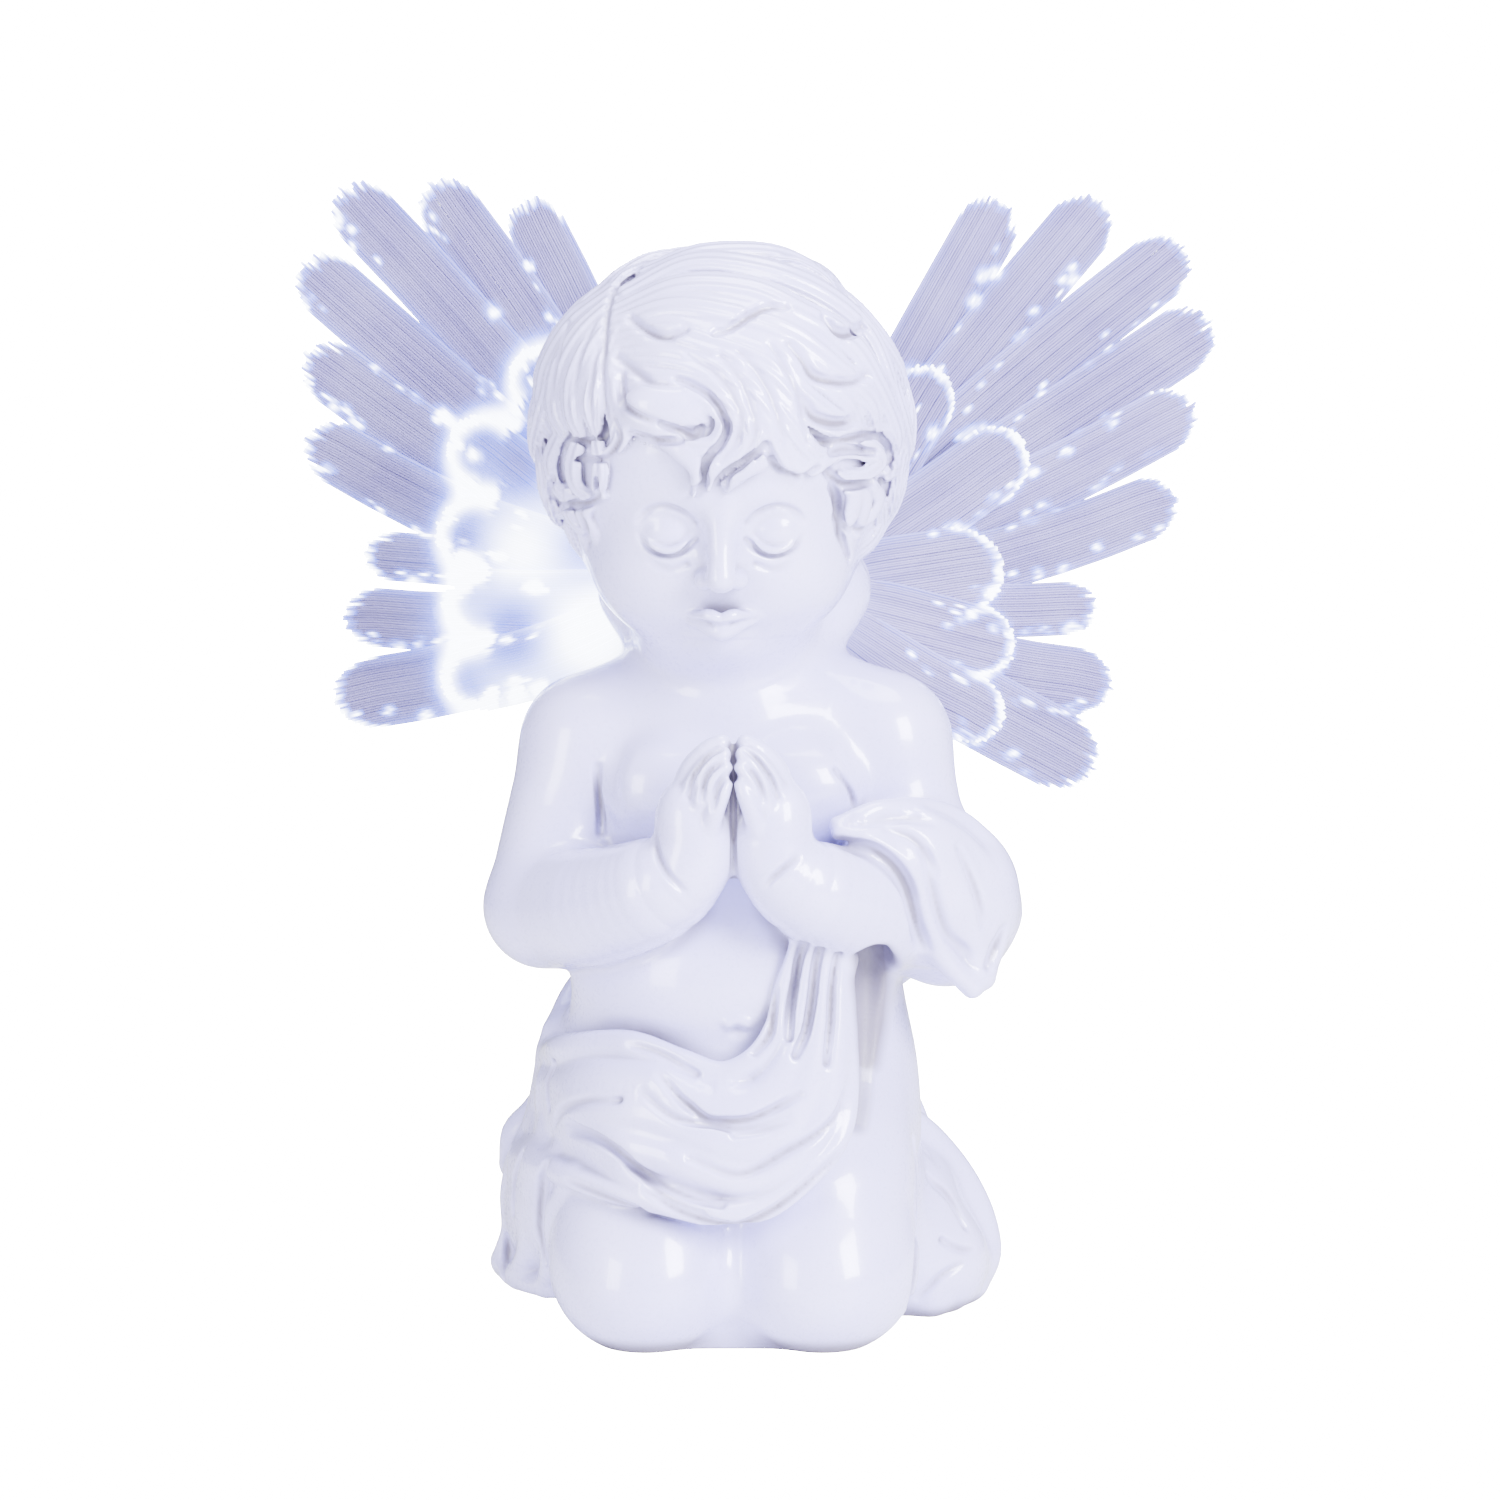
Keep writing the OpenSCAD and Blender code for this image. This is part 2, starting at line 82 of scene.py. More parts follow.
# ---------------------------------------------------------------- clay
class Clay:
    """A block of clay, held as distances to its surface on a regular grid, in millimetres."""

    def __init__(self, low, high):
        self.low = np.array(low, np.float32)
        self.count = (np.ceil((np.array(high) - self.low) / GRAIN) + 1).astype(int)
        self.field = np.full(self.count, FAR, np.float32)
        # Painted shade along creases and recesses, carried to the mesh
        self.shade = np.zeros(self.count, np.float32)
        self.ticks = [self.low[i] + GRAIN * np.arange(self.count[i], dtype=np.float32) for i in range(3)]

    def blank(self):
        """An empty block on the same grid."""
        other = Clay.__new__(Clay)
        other.__dict__.update(self.__dict__)
        other.field = np.full(self.count, FAR, np.float32)
        return other

    def window(self, low, high):
        """The part of the grid inside a box, as slices, and its places along each axis."""
        cut = []
        for i in range(3):
            a = max(0, int((low[i] - self.low[i]) / GRAIN))
            b = min(self.count[i], int((high[i] - self.low[i]) / GRAIN) + 2)
            if b <= a:
                return None, None
            cut.append(slice(a, b))
        x, y, z = (self.ticks[i][cut[i]] for i in range(3))
        return tuple(cut), (x[:, None, None], y[None, :, None], z[None, None, :])

    def blend(self, cut, d, soft, carve=False):
        """Adds or carves a shape given by its distances, with a fillet as wide as soft."""
        old = self.field[cut]
        new = -d if carve else d
        low = np.maximum(old, new) if carve else np.minimum(old, new)
        if soft > 0:
            h = np.maximum(soft - np.abs(old - new), 0) / soft
            low = low + h * h * soft / 4 if carve else low - h * h * soft / 4
        self.field[cut] = low

    def egg(self, centre, radii, soft=3, turn=None, carve=False):
        r = np.array(radii, np.float32)
        reach = (r if turn is None else np.full(3, r.max())) + soft + 2
        centre = np.array(centre, np.float32)
        cut, p = self.window(centre - reach, centre + reach)
        if cut is None:
            return
        q = [p[i] - centre[i] for i in range(3)]
        if turn is not None:
            t = np.array(turn)
            q = [q[0] * t[0, i] + q[1] * t[1, i] + q[2] * t[2, i] for i in range(3)]
        k0 = np.sqrt(sum((q[i] / r[i]) ** 2 for i in range(3)))
        k1 = np.sqrt(sum((q[i] / r[i] ** 2) ** 2 for i in range(3)))
        self.blend(cut, k0 * (k0 - 1) / np.maximum(k1, 1e-6), soft, carve)

    def stroke(self, points, wide, thick=None, up=(0, -1, 0), soft=2, carve=False, ribs=0, depth=0.0,
               pace=None,
               mark=0.0, spill=0.5):
        """A round or flattened roll of clay along a smooth path.

        up is a direction, or a function of the place. mark darkens the colour as far as spill from the roll,
        a painted shade.
        A roll with soft below 0 only paints shade.
        """
        ts, path = smooth(points, pace or max(0.9, 0.35 * float(np.min(wide)) + 0.6))
        w = spread(wide, ts)
        h = w if thick is None else spread(thick, ts)
        reach = np.maximum(w, h).max() + soft + 1.5
        cut, _ = self.window(path.min(0) - reach, path.max(0) + reach)
        if cut is None:
            return
        shape = tuple(c.stop - c.start for c in cut)
        d = np.full(shape, FAR, np.float32)
        for i in range(len(path) - 1):
            a, b = path[i], path[i + 1]
            r = max(w[i], w[i + 1], h[i], h[i + 1]) + soft + 1
            sub, p = self.window(np.minimum(a, b) - r, np.maximum(a, b) + r)
            if sub is None:
                continue
            way = b - a
            length = float(np.linalg.norm(way)) or 1e-6
            t = np.clip(sum((p[k] - a[k]) * way[k] for k in range(3)) / length ** 2, 0, 1)
            q = [p[k] - a[k] - t * way[k] for k in range(3)]
            rw = w[i] + (w[i + 1] - w[i]) * t
            if thick is None and not ribs:
                e = np.sqrt(q[0] ** 2 + q[1] ** 2 + q[2] ** 2) - rw
            else:
                rh = h[i] + (h[i + 1] - h[i]) * t
                n = np.array(up(0.5 * (a + b)) if callable(up) else up, float)
                along = way / length
                n = n - along * float(n @ along)
                n = n / (np.linalg.norm(n) or 1)
                side = np.cross(along, n)
                u = q[0] * side[0] + q[1] * side[1] + q[2] * side[2]
                v = q[0] * n[0] + q[1] * n[1] + q[2] * n[2]
                s2 = np.maximum(q[0] ** 2 + q[1] ** 2 + q[2] ** 2 - u * u - v * v, 0)
                m = np.minimum(rw, rh)
                k0 = np.sqrt((u / rw) ** 2 + (v / rh) ** 2 + s2 / m ** 2)
                k1 = np.sqrt((u / rw ** 2) ** 2 + (v / rh ** 2) ** 2 + s2 / m ** 4)
                e = k0 * (k0 - 1) / np.maximum(k1, 1e-6)
                if ribs:
                    e = e + depth * np.minimum(m, 1.5) * (0.5 + 0.5 * np.cos(ribs * np.arctan2(u / rw,
                                                                                               v / rh)))
            place = tuple(slice(sub[k].start - cut[k].start, sub[k].stop - cut[k].start) for k in range(3))
            d[place] = np.minimum(d[place], e)
        # Painted shade: darkens the colour round the roll, where shade falls in creases and recesses
        if mark > 0:
            self.shade[cut] = np.maximum(self.shade[cut], mark * np.clip(1 - d / spill, 0, 1))
        if soft >= 0:
            self.blend(cut, d, soft, carve)

    def box(self, low, high, corner=0.0, turn=None, origin=(0, 0, 0), carve=True, soft=0):
        """Cuts or adds a box, given in its own frame, with its upright edges rounded."""
        t = np.eye(3) if turn is None else np.array(turn)
        low, high, origin = (np.array(v, float) for v in (low, high, origin))
        ends = np.array([[(low, high)[i][0], (low, high)[j][1], (low, high)[k][2]]
                         for i in (0, 1) for j in (0, 1) for k in (0, 1)]) @ t.T + origin
        cut, p = self.window(ends.min(0) - 2 - soft, ends.max(0) + 2 + soft)
        if cut is None:
            return
        q = [p[i] - origin[i] for i in range(3)]
        q = [q[0] * t[0, i] + q[1] * t[1, i] + q[2] * t[2, i] for i in range(3)]
        mid, half = (low + high) / 2, (high - low) / 2
        e = [np.abs(q[i] - mid[i]) - half[i] for i in range(3)]
        ex, ey = e[0] + corner, e[1] + corner
        flat = np.sqrt(np.maximum(ex, 0) ** 2 + np.maximum(ey, 0) ** 2) + np.minimum(np.maximum(ex, ey),
                                                                                     0) - corner
        self.blend(cut, np.maximum(flat, e[2]), soft, carve)

    def bore(self, origin, turn, radius, near, far):
        """Cuts a round hole along the Y axis of the frame given."""
        reach = max(radius, abs(near), abs(far)) + 2
        cut, p = self.window(origin - reach, origin + reach)
        q = [p[i] - origin[i] for i in range(3)]
        q = [q[0] * turn[0, i] + q[1] * turn[1, i] + q[2] * turn[2, i] for i in range(3)]
        d = np.sqrt(q[0] ** 2 + q[2] ** 2) - radius
        self.blend(cut, np.maximum(d, np.maximum(near - q[1], q[1] - far)), 0, True)

    def sample(self, pts, field=None):
        """Distances to the surface, or another field's values, read between the grid's points."""
        field = self.field if field is None else field
        g = (pts - self.low) / GRAIN
        i = np.clip(g.astype(int), 0, self.count - 2)
        f = np.clip(g - i, 0, 1)
        out = 0
        for dx in (0, 1):
            for dy in (0, 1):
                for dz in (0, 1):
                    wgt = (f[:, 0] if dx else 1 - f[:, 0]) * (f[:, 1] if dy else 1 - f[:, 1]) * \
                        (f[:, 2] if dz else 1 - f[:, 2])
                    out = out + wgt * field[i[:, 0] + dx, i[:, 1] + dy, i[:, 2] + dz]
        return out

    def crease(self, wide, deep, places, soft=1.4, press=None, reach=14.0):
        """Presses a furrow into the clay along a path, and paints shade along its bottom.

        (x, z) places are pressed from the front. With press, a function that gives the inward direction at a
        place, the path starts outside the clay and is followed inward.
        """
        if press is None:
            places = [(x, self.low[1] + 2, z) for x, z in places]
            reach = 90.0
        ts, path = smooth(places, 1.2)
        way = np.array([(0, 1, 0) if press is None else press(p) for p in path], float)
        steps = np.arange(0, reach, 0.4)
        rays = path[:, None] + way[:, None] * steps[None, :, None]
        inside = self.sample(rays.reshape(-1, 3)).reshape(len(path), len(steps)) < 0
        hit = steps[np.argmax(inside, axis=1)] + 60.0 * ~inside.any(axis=1)
        hit = np.array([np.median(hit[max(0, i - 3):i + 4]) for i in range(len(hit))])
        hit = np.array([np.mean(hit[max(0, i - 1):i + 2]) for i in range(len(hit))])
        path = path + way * (hit - 0.2)[:, None]
        taper = np.sin(np.pi * np.clip(0.12 + 0.76 * ts, 0, 1)) ** 0.5
        w = wide * (0.4 + 0.6 * taper)
        self.stroke(path - way * (w - deep * taper)[:, None], w, soft=soft, carve=True, pace=1.6)
        # Painted shade along the bottom of the crease, no clay added
        self.stroke(path + way * (0.9 * deep * taper)[:, None], 0.1 + 0.25 * w - 1.5 * (1 - taper),
                    soft=-0.5, pace=1.6,
                    mark=min(1.0, deep / 1.9), spill=0.7)

    def mesh(self, name):
        grid = vdb.FloatGrid(4 * GRAIN)
        grid.copyFromArray(np.clip(self.field, -4 * GRAIN, 4 * GRAIN), tolerance=1e-4)
        points, quads = grid.convertToQuads(0.0)
        points = points * GRAIN + self.low
        e = 0.5 * GRAIN
        n = np.stack([self.sample(points + np.eye(3)[i] * e) - self.sample(points - np.eye(3)[i] * e)
                      for i in range(3)], 1)
        n /= np.maximum(np.linalg.norm(n, axis=1, keepdims=True), 1e-9)
        # groove: the painted shade of creases and recesses, read at each point
        piece = quad_piece(name, points, quads, {"groove": self.sample(points, self.shade)})
        piece.data.normals_split_custom_set_from_vertices(n)
        return piece


def quad_piece(name, points, quads, values):
    """A smooth object from points in millimetres and four-cornered faces, with named values at its points."""
    data = bpy.data.meshes.new(name)
    data.vertices.add(len(points))
    data.vertices.foreach_set("co", (points * MM).astype(np.float32).ravel())
    data.loops.add(quads.size)
    data.loops.foreach_set("vertex_index", quads.astype(np.int32).ravel())
    data.polygons.add(len(quads))
    data.polygons.foreach_set("loop_start", np.arange(0, quads.size, 4, dtype=np.int32))
    data.update(calc_edges=True)
    data.polygons.foreach_set("use_smooth", np.ones(len(quads), bool))
    for label, numbers in values.items():
        field = data.attributes.new(label, "FLOAT", "POINT")
        field.data.foreach_set("value", np.asarray(numbers, np.float32))
    piece = bpy.data.objects.new(name, data)
    bpy.context.scene.collection.objects.link(piece)
    return piece


def smooth(points, pace):
    """Even steps along a curve through the points, with each step's share of the way to the last."""
    p = np.array(points, float)
    if len(p) == 2:
        p = np.array([p[0], (p[0] + p[1]) / 2, p[1]])
    ends = np.vstack([2 * p[0] - p[1], p, 2 * p[-1] - p[-2]])
    out, ts = [], []
    for i in range(len(p) - 1):
        a, b, c, d = ends[i:i + 4]
        n = max(2, int(math.ceil(np.linalg.norm(c - b) / pace)))
        for k in range(n):
            t = k / n
            out.append(0.5 * (2 * b + (c - a) * t + (2 * a - 5 * b + 4 * c - d) * t * t
                              + (3 * b - 3 * c + d - a) * t ** 3))
            ts.append((i + t) / (len(p) - 1))
    out.append(p[-1])
    ts.append(1.0)
    return np.array(ts), np.array(out)


def spread(value, ts):
    """One number, or one for each point of the path, as a value at every step."""
    v = np.atleast_1d(np.array(value, float))
    if len(v) == 1:
        return np.full(len(ts), v[0])
    return np.interp(ts, np.linspace(0, 1, len(v)), v)


# ---------------------------------------------------------------- body
def body(c):
    c.egg((0, 4, 58), (43, 33, 32), 6)
    c.egg((0, -5, 90), (41, 33, 32), 14)
    c.egg((0, 1, 126), (37, 26, 36), 14)
    c.stroke([(-36, 4, 147), (-16, 5, 152), (16, 5, 152), (37, 4, 148)], [16, 17, 17, 16], soft=10)
    c.stroke([(0, 6, 150), (-1, 5, 168), (-3, 4, 186)], [19, 17.5, 18], soft=12)
    for s in (1, -1):
        c.stroke([(s * 8, 8, 168), (s * 36, 5, 151)], [10, 9], soft=10)
        c.egg((s * 17, -17, 138), (14, 9, 11), 8)
    # Navel, and the soft fold over it
    c.egg((1, -38.5, 80), (2.3, 2.6, 1.7), 2, carve=True)
    c.stroke([(-1.2, -36.8, 82.4), (1, -37, 83.2), (3.2, -36.8, 82.4)], 0.9, soft=2.5)


def legs(c):
    for s in (1, -1):
        c.stroke([(s * 20, -1, 64), (s * 21.5, -12, 42), (s * 21.5, -21, 24)], [24, 24, 23.5], soft=8)
        c.egg((s * 21.5, -24, 20), (23, 22, 20), 6)
        c.egg((s * 22, -27.5, 16.5), (21, 22.5, 17.5), 5)
        c.stroke([(s * 21, -18, 15), (s * 20, 20, 15), (s * 18.5, 48, 12)], [15, 14.5, 9.5], soft=5)
        c.egg((s * 20, 22, 52), (23, 21, 21), 8)
        # Foot, its sole turned up and back
        c.stroke([(s * 18.5, 47, 12), (s * 18, 60, 9.5), (s * 17.5, 66, 7)], [9, 8.5, 6.5], [8, 6.5, 5],
                 up=(0, 0.3, 1), soft=3)
        for k in range(5):
            c.stroke([(s * (12.5 + 2.7 * k), 65 - 0.7 * k, 6), (s * (12.3 + 2.8 * k), 69.5 - 1.0 * k, 3.8)],
                     2.3 - 0.2 * k, soft=1)
    c.egg((0, -16, 16), (16, 20, 14), 8)
    c.stroke([(0, -44, 44), (0, -46, 26), (0, -46, 10), (0, -40, -2)], [0.8, 1.4, 2.6, 5], soft=6,
             carve=True)


def arms(c):
    c.stroke([(-37, 4, 147), (-42, 0, 128), (-47, -9, 107.5)], [16, 15.5, 15], soft=6)
    c.stroke([(-47, -9, 107.5), (-34, -26, 109.5), (-20, -39, 115), (-12, -44, 120)], [15, 14.5, 13, 9.5],
             soft=3)
    c.stroke([(38, 4, 147), (42, 0, 128), (45, -9, 107)], [16, 15.5, 15], soft=6)
    c.stroke([(45, -9, 107), (33, -26, 109), (20, -39, 114.5), (12, -44, 120)], [15, 14.3, 12.6, 9.5],
             soft=3)
    # Creases in front of the armpits
    for s in (1, -1):
        c.stroke([(s * 29, -19, 146), (s * 31, -21, 138), (s * 30.5, -24, 130)], [0.6, 1.2, 0.8], soft=5,
                 carve=True)
    for wide, deep, places in ((0.9, 2.0, [(-34, 143), (-33.5, 137.5), (-33, 131.5), (-33, 126.5)]),
                               (0.9, 2.0, [(25, 143), (28, 139), (29.5, 134.5), (30, 131)])):
        c.crease(wide, deep, places, 1.6)


def hands(c):
    for s in (1, -1):
        c.egg((s * 9.2, -44.5, 130), (9.6, 9, 13.5), 3, turned(ay=s * 14))
        c.stroke([(s * 13, -41, 118), (s * 10, -43.5, 124)], [9, 8.5], soft=4)
        fingers = [((12.6, -42, 136), (10.4, -45.5, 144.5), (6.4, -47.5, 149.5), (3.0, -48, 151.8), 3.1),
                   ((11.2, -46, 135), (8.6, -49.5, 142.5), (5.3, -51.2, 147.3), (2.7, -51.5, 149.5), 2.9),
                   ((8.6, -49.2, 134), (6.3, -52, 140.5), (4, -53, 144.5), (2.3, -53, 146.5), 2.7),
                   ((5.6, -51, 132), (4.1, -53.4, 137), (2.7, -54, 140.5), (1.9, -53.8, 142.5), 2.3)]
        for a, b, d, e, r in fingers:
            c.stroke([(s * p[0], p[1], p[2]) for p in (a, b, d, e)], [r + 0.3, r, r - 0.2, r - 0.7],
                     soft=1.1)
    c.stroke([(0, -47.5, 150), (0, -49.2, 144), (0, -49.2, 138), (0, -47.2, 132), (0, -44.8, 126),
              (0, -42.4, 120)],
             [1.4, 2.0, 2.2, 2.2, 2.0, 1.2], soft=1.5)
    # Painted shade along the seam between the palms; this roll adds no clay
    c.stroke([(0, -48.6, 150.5), (0, -50.6, 145), (0, -50.6, 139), (0, -48.6, 133), (0, -46, 127),
              (0, -43, 119)], 1.1,
             soft=-0.5, mark=1.0, spill=1.5)
    # Gap between the palms, gaps between the fingers, and the creases round the wrists
    for wide, deep, places in (
            (0.7, 1.6, [(0, 151.5), (0, 142), (0, 131), (0, 119)]),
            (0.9, 1.6, [(-10.8, 139.5), (-9.6, 144.5), (-6.2, 149), (-3, 151)]),
            (0.9, 1.6, [(-7.8, 139), (-6.4, 144.5), (-3.2, 147.8)]),
            (0.9, 1.4, [(-5, 137), (-3.4, 142.5), (-1.6, 145)]),
            (0.9, 1.6, [(10.8, 139.5), (9, 144), (5.6, 148.5), (2.6, 151)]),
            (0.9, 1.6, [(7.6, 138.5), (6.2, 143), (3.4, 147)]),
            (0.9, 1.2, [(-18.8, 133), (-18.4, 126.5), (-16.2, 121.5), (-12, 117)]),
            (0.9, 1.2, [(16.5, 125.5), (13, 123), (10, 120.5), (7, 117.5)])):
        c.crease(wide, deep, places, 1.0)


# ---------------------------------------------------------------- drape
def drape(c):
    # The cloth drawn smooth over the lap, the hips and the thighs
    c.egg((-3, -16, 54), (37, 30, 22), 8)
    c.stroke([(-43, -6, 61), (-35, -28, 61), (-20, -39.5, 59), (-4, -44, 54), (10, -43.5, 57),
              (19.5, -40, 72),
              (22, -36.5, 92), (23, -35, 106)], [9, 11, 13, 15.5, 13.5, 9, 6.5, 6],
              [6, 6, 6, 6, 5.5, 5, 4, 3.5],
             up=lambda p: (p[0] * 0.5, p[1], 0), soft=3)
    c.stroke([(-41, 6, 68), (-43, 4, 52)], [9, 10], soft=7)
    c.stroke([(29, 5, 98), (31.5, 5, 70), (33, 1, 46), (31, -6, 22)], [11, 12.5, 13.5, 13], soft=7)
    # Hollow between the gathers and the hip, carved, with painted shade in it
    c.stroke([(33, -29, 101), (34, -27, 91), (33.5, -27, 80), (32.5, -30, 68), (31, -33, 58)],
             [5.5, 6, 4.8, 3.2, 1.5],
             [10, 10.5, 8, 6, 2], soft=3, carve=True, mark=0.75, spill=2.5)
    # Sling folds: from the right hip down across the lap and up to the left forearm
    folds = [
        ([3.0, 3.6, 4, 3.6, 3.2, 3.2, 3.0, 2.4, 2.0, 1.8],
         [(-47, 4, 68), (-42, -18, 73), (-26, -33, 76), (-13, -40, 73), (-3, -42, 70.5), (5, -42, 74),
          (10, -41, 81),
          (11.5, -39.5, 89), (14, -38, 97), (17, -37, 106)]),
        ([4.0, 4.2, 4.4, 3.6, 3.0, 3.0, 2.6, 2.2, 1.9, 1.7],
         [(-46, -6, 61.5), (-33, -31, 67), (-19, -41, 68), (-10, -45, 64), (-3, -46, 62), (6, -45, 65),
          (12.5, -43.5, 73),
          (15, -42, 81), (17, -40, 90), (20, -37, 105)]),
        ([4.0, 4.4, 4.2, 3.2, 3.0, 3.0, 2.6, 2.2, 1.9, 1.7],
         [(-46, -7, 56.5), (-32, -34, 60), (-18, -43.5, 60), (-7, -47.5, 56), (3, -47.5, 54),
          (13, -45.5, 60),
          (18.5, -43, 70), (20.5, -41, 81), (21.5, -39, 93), (23, -36, 103)]),
        ([4.2, 4.4, 4.0, 3.4, 3.2, 3.2, 2.8, 2.4, 2.0, 1.8],
         [(-45, -10, 52.5), (-31, -37, 53), (-17, -46, 51), (-7, -48.5, 47.5), (4, -48.5, 45.5),
          (16, -46, 52),
          (23, -43, 63), (25, -40, 76), (25.5, -37, 90), (26, -34, 102)]),
        ([3.0, 3.0, 3.2, 3.2, 3.0, 3.0, 2.8, 2.4, 2.2, 2.0],
         [(-43, -14, 48), (-31, -36, 47.5), (-22, -44, 43.5), (-12, -48, 39.5), (-3, -49.5, 37.5),
          (8, -48.5, 39),
          (18, -46.5, 46), (25.5, -43, 54), (28.5, -38.5, 66), (28.5, -34, 98)]),
    ]
    for wide, path in folds:
        c.stroke(path, wide, [0.85 * w for w in wide], up=lambda p: (p[0] * 0.5, p[1], 0), soft=2.6)
    # Hem under the folds on the right side, falling to the table
    c.stroke([(-52, 2, 42), (-44, -24, 43.5), (-31, -39, 41.5), (-19, -45.5, 39.5), (-8, -48, 37)],
             [4, 3.2, 2.8, 2.6, 1.8], soft=1.8)
    c.egg((-42, 11, 29), (17, 27, 23), 7)
    c.egg((-45, -5, 35), (8.5, 15, 18), 5)
    c.egg((-46, 36, 24), (9, 16, 21), 5)
    falls = [([3.5, 4, 4.2, 4.2, 4], [(-46, 2, 55), (-53, 7, 43), (-55.5, 9, 32), (-55.5, 10, 22),
                                      (-58.5, 13, 13)]),
             ([4, 4.4, 4.4, 4], [(-44, 15, 58), (-51, 15, 50.5), (-55.5, 15, 45.5), (-56.5, 14, 38)]),
             ([3, 3.4, 3.6, 3.6, 3.4], [(-42, -20, 48), (-48, -12, 38), (-49, -8, 27), (-51.5, -5, 18),
                                        (-54.5, 2, 12)]),
             ([2.4, 2.8, 3.0, 3.2, 3.0], [(-38, -30, 44), (-43.5, -22, 34), (-44.5, -18, 24),
                                          (-45.5, -15, 17), (-47, -9, 11.5)]),
             ([3, 3.6, 4, 4.4, 4.5], [(-46, 14, 60), (-52, 20, 48), (-54, 24, 38), (-54.5, 28, 26),
                                      (-55.5, 32, 13)]),
             ([3, 3.8, 4.2, 4.6, 5], [(-44, 24, 66), (-49, 32, 48), (-50, 38, 32), (-50, 44, 20),
                                      (-50, 48, 9)])]
    for wide, path in falls:
        c.stroke(path, wide, soft=2.2)
    c.stroke([(-59, 16, 12.5), (-56.5, 6, 11), (-51, -5, 11), (-45, -12, 11)], [3.5, 3.3, 3, 2.5], soft=2)
    # The left side: a wide lobe of cloth that spreads on the table
    c.egg((43, 22, 20), (17, 27, 26), 8)
    c.egg((50, 15, 13), (15.5, 17, 15), 5)
    c.stroke([(42, 16, 50), (50, 21, 42), (57, 25, 32), (61.5, 26, 22), (63, 24, 13), (60, 18, 7)],
             [4.5, 5, 5.5, 6, 6.3, 6],
             soft=3)
    c.stroke([(43, 6, 44), (49.5, 10, 32), (54, 13, 20), (57, 12, 8)], [3, 3.4, 4, 5], soft=2.5)
    c.stroke([(40, -4, 34), (45.5, 0, 22), (48.5, 2, 12), (50, 4, 5)], [3, 3.2, 3.6, 4.6], soft=3)
    c.stroke([(40, 30, 60), (46, 38, 44), (50, 43, 26), (51, 46, 10)], [4, 5, 5.5, 6], soft=3)
    c.stroke([(48, 12, 38), (55.5, 17, 27), (60, 17, 14)], [0.5, 1.1, 0.6], soft=3, carve=True)
    # Cloth over the seat and the calves, gathered behind
    c.egg((0, 32, 40), (42, 28, 34), 9)
    for x, lean in ((-40, 3), (-33, 1), (35, -1), (42, -3)):
        c.stroke([(x * 0.9, 34, 74), (x * 0.96, 44, 52), (x + lean * 0.3, 50, 30), (x + lean, 53, 8)],
                 [4, 4.6, 5, 6],
                 soft=3.5)
    c.stroke([(-48, 44, 6), (-30, 54, 6), (-8, 56, 6)], [5, 6, 5], soft=4)
    c.stroke([(8, 56, 6), (30, 55, 6), (50, 42, 7)], [5, 6, 5], soft=4)
    for wide, deep, places in (
            (1.0, 1.0, [(-26.5, 77.5), (-18, 75.5), (-9, 71)]),
            (1.3, 2.1, [(-18, 71), (-13.5, 66), (-10.5, 63.5), (-6.5, 60.5), (-2, 60), (4, 60.5), (10, 63),
                        (16, 66.5)]),
            (1.2, 1.6, [(-42.5, 54), (-35, 54), (-27.5, 51.5), (-21.5, 46.5), (-17, 42), (-8, 38)]),
            (1.2, 2.4, [(18, 105), (16, 98.5), (15, 92), (14, 86), (13.5, 79.5)]),
            (1.2, 2.4, [(21.5, 103), (20, 97), (19, 88.5), (17.5, 81), (15, 75.5)]),
            (1.1, 1.9, [(25.5, 100.5), (24, 92), (23.5, 83), (22.5, 73.5)]),
            (1.1, 1.9, [(10, 91), (9.5, 85), (8.5, 80), (5, 76)]),
            (1.0, 1.1, [(-45.5, 54.5), (-41.5, 60), (-35, 63), (-27.5, 64)]),
            (1.0, 1.2, [(-22.5, 66.5), (-15.5, 61.5), (-7, 59.5), (3, 58.5), (13, 61.5)]),
            (1.1, 1.3, [(-10.5, 51.5), (1.5, 47.5), (13.5, 53), (23.5, 59), (27.5, 66)]),
            (1.2, 1.4, [(-43, 56.5), (-31, 53.5), (-22, 47), (-13, 42.5), (-3, 40)]),
            (1.3, 1.6, [(-21.5, 43), (-12.5, 38), (-2, 35), (3.5, 35.5), (11, 39.5), (17.5, 44.5),
                        (27, 52)]),
            (1.1, 1.2, [(-42.5, 43), (-32.5, 40.5), (-20.5, 37), (-8, 33.5)]),
            (1.0, 1.0, [(-44, 69.5), (-46.5, 64), (-46, 58)]),
            (0.9, 0.8, [(0.5, 57), (7.5, 58), (14, 60)]),
            (1.6, 1.4, [(-47, 45), (-48, 37), (-48.5, 27), (-47, 19)]),
            (1.0, 1.0, [(-53.5, 45), (-55.5, 37.5), (-56, 29)]),
            (1.8, 2.2, [(-58, 20), (-58, 15), (-59, 11)]),
            (1.4, 1.6, [(45, 49), (46, 36.5), (45, 21), (43, 7.5)]),
            (1.1, 1.2, [(49, 36.5), (54.5, 31), (59, 23)]),
            (1.0, 1.0, [(52.5, 21), (58, 18), (62, 18)]),
            (1.0, 1.0, [(46.5, 6), (52.5, 12), (59.5, 15.5)])):
        c.crease(wide, deep, places)
    # The same recess cut deeper, and painted shade laid over its walls; the second roll adds no clay
    c.stroke([(33.5, -30, 93), (34, -29, 85), (33, -29, 76), (32, -31, 66), (31, -33, 58)],
             [4.2, 5, 4.4, 3, 1.4],
             [9, 9, 8, 5, 2], soft=2.5, carve=True, mark=0.9, spill=3.5)
    c.stroke([(33.6, -16, 99), (33.8, -15, 89), (33.4, -15, 79), (32.4, -18, 70)], [2.6, 3.2, 2.6, 1.6],
             [16, 16, 14, 10], soft=-0.5, mark=1.0, spill=3.8)
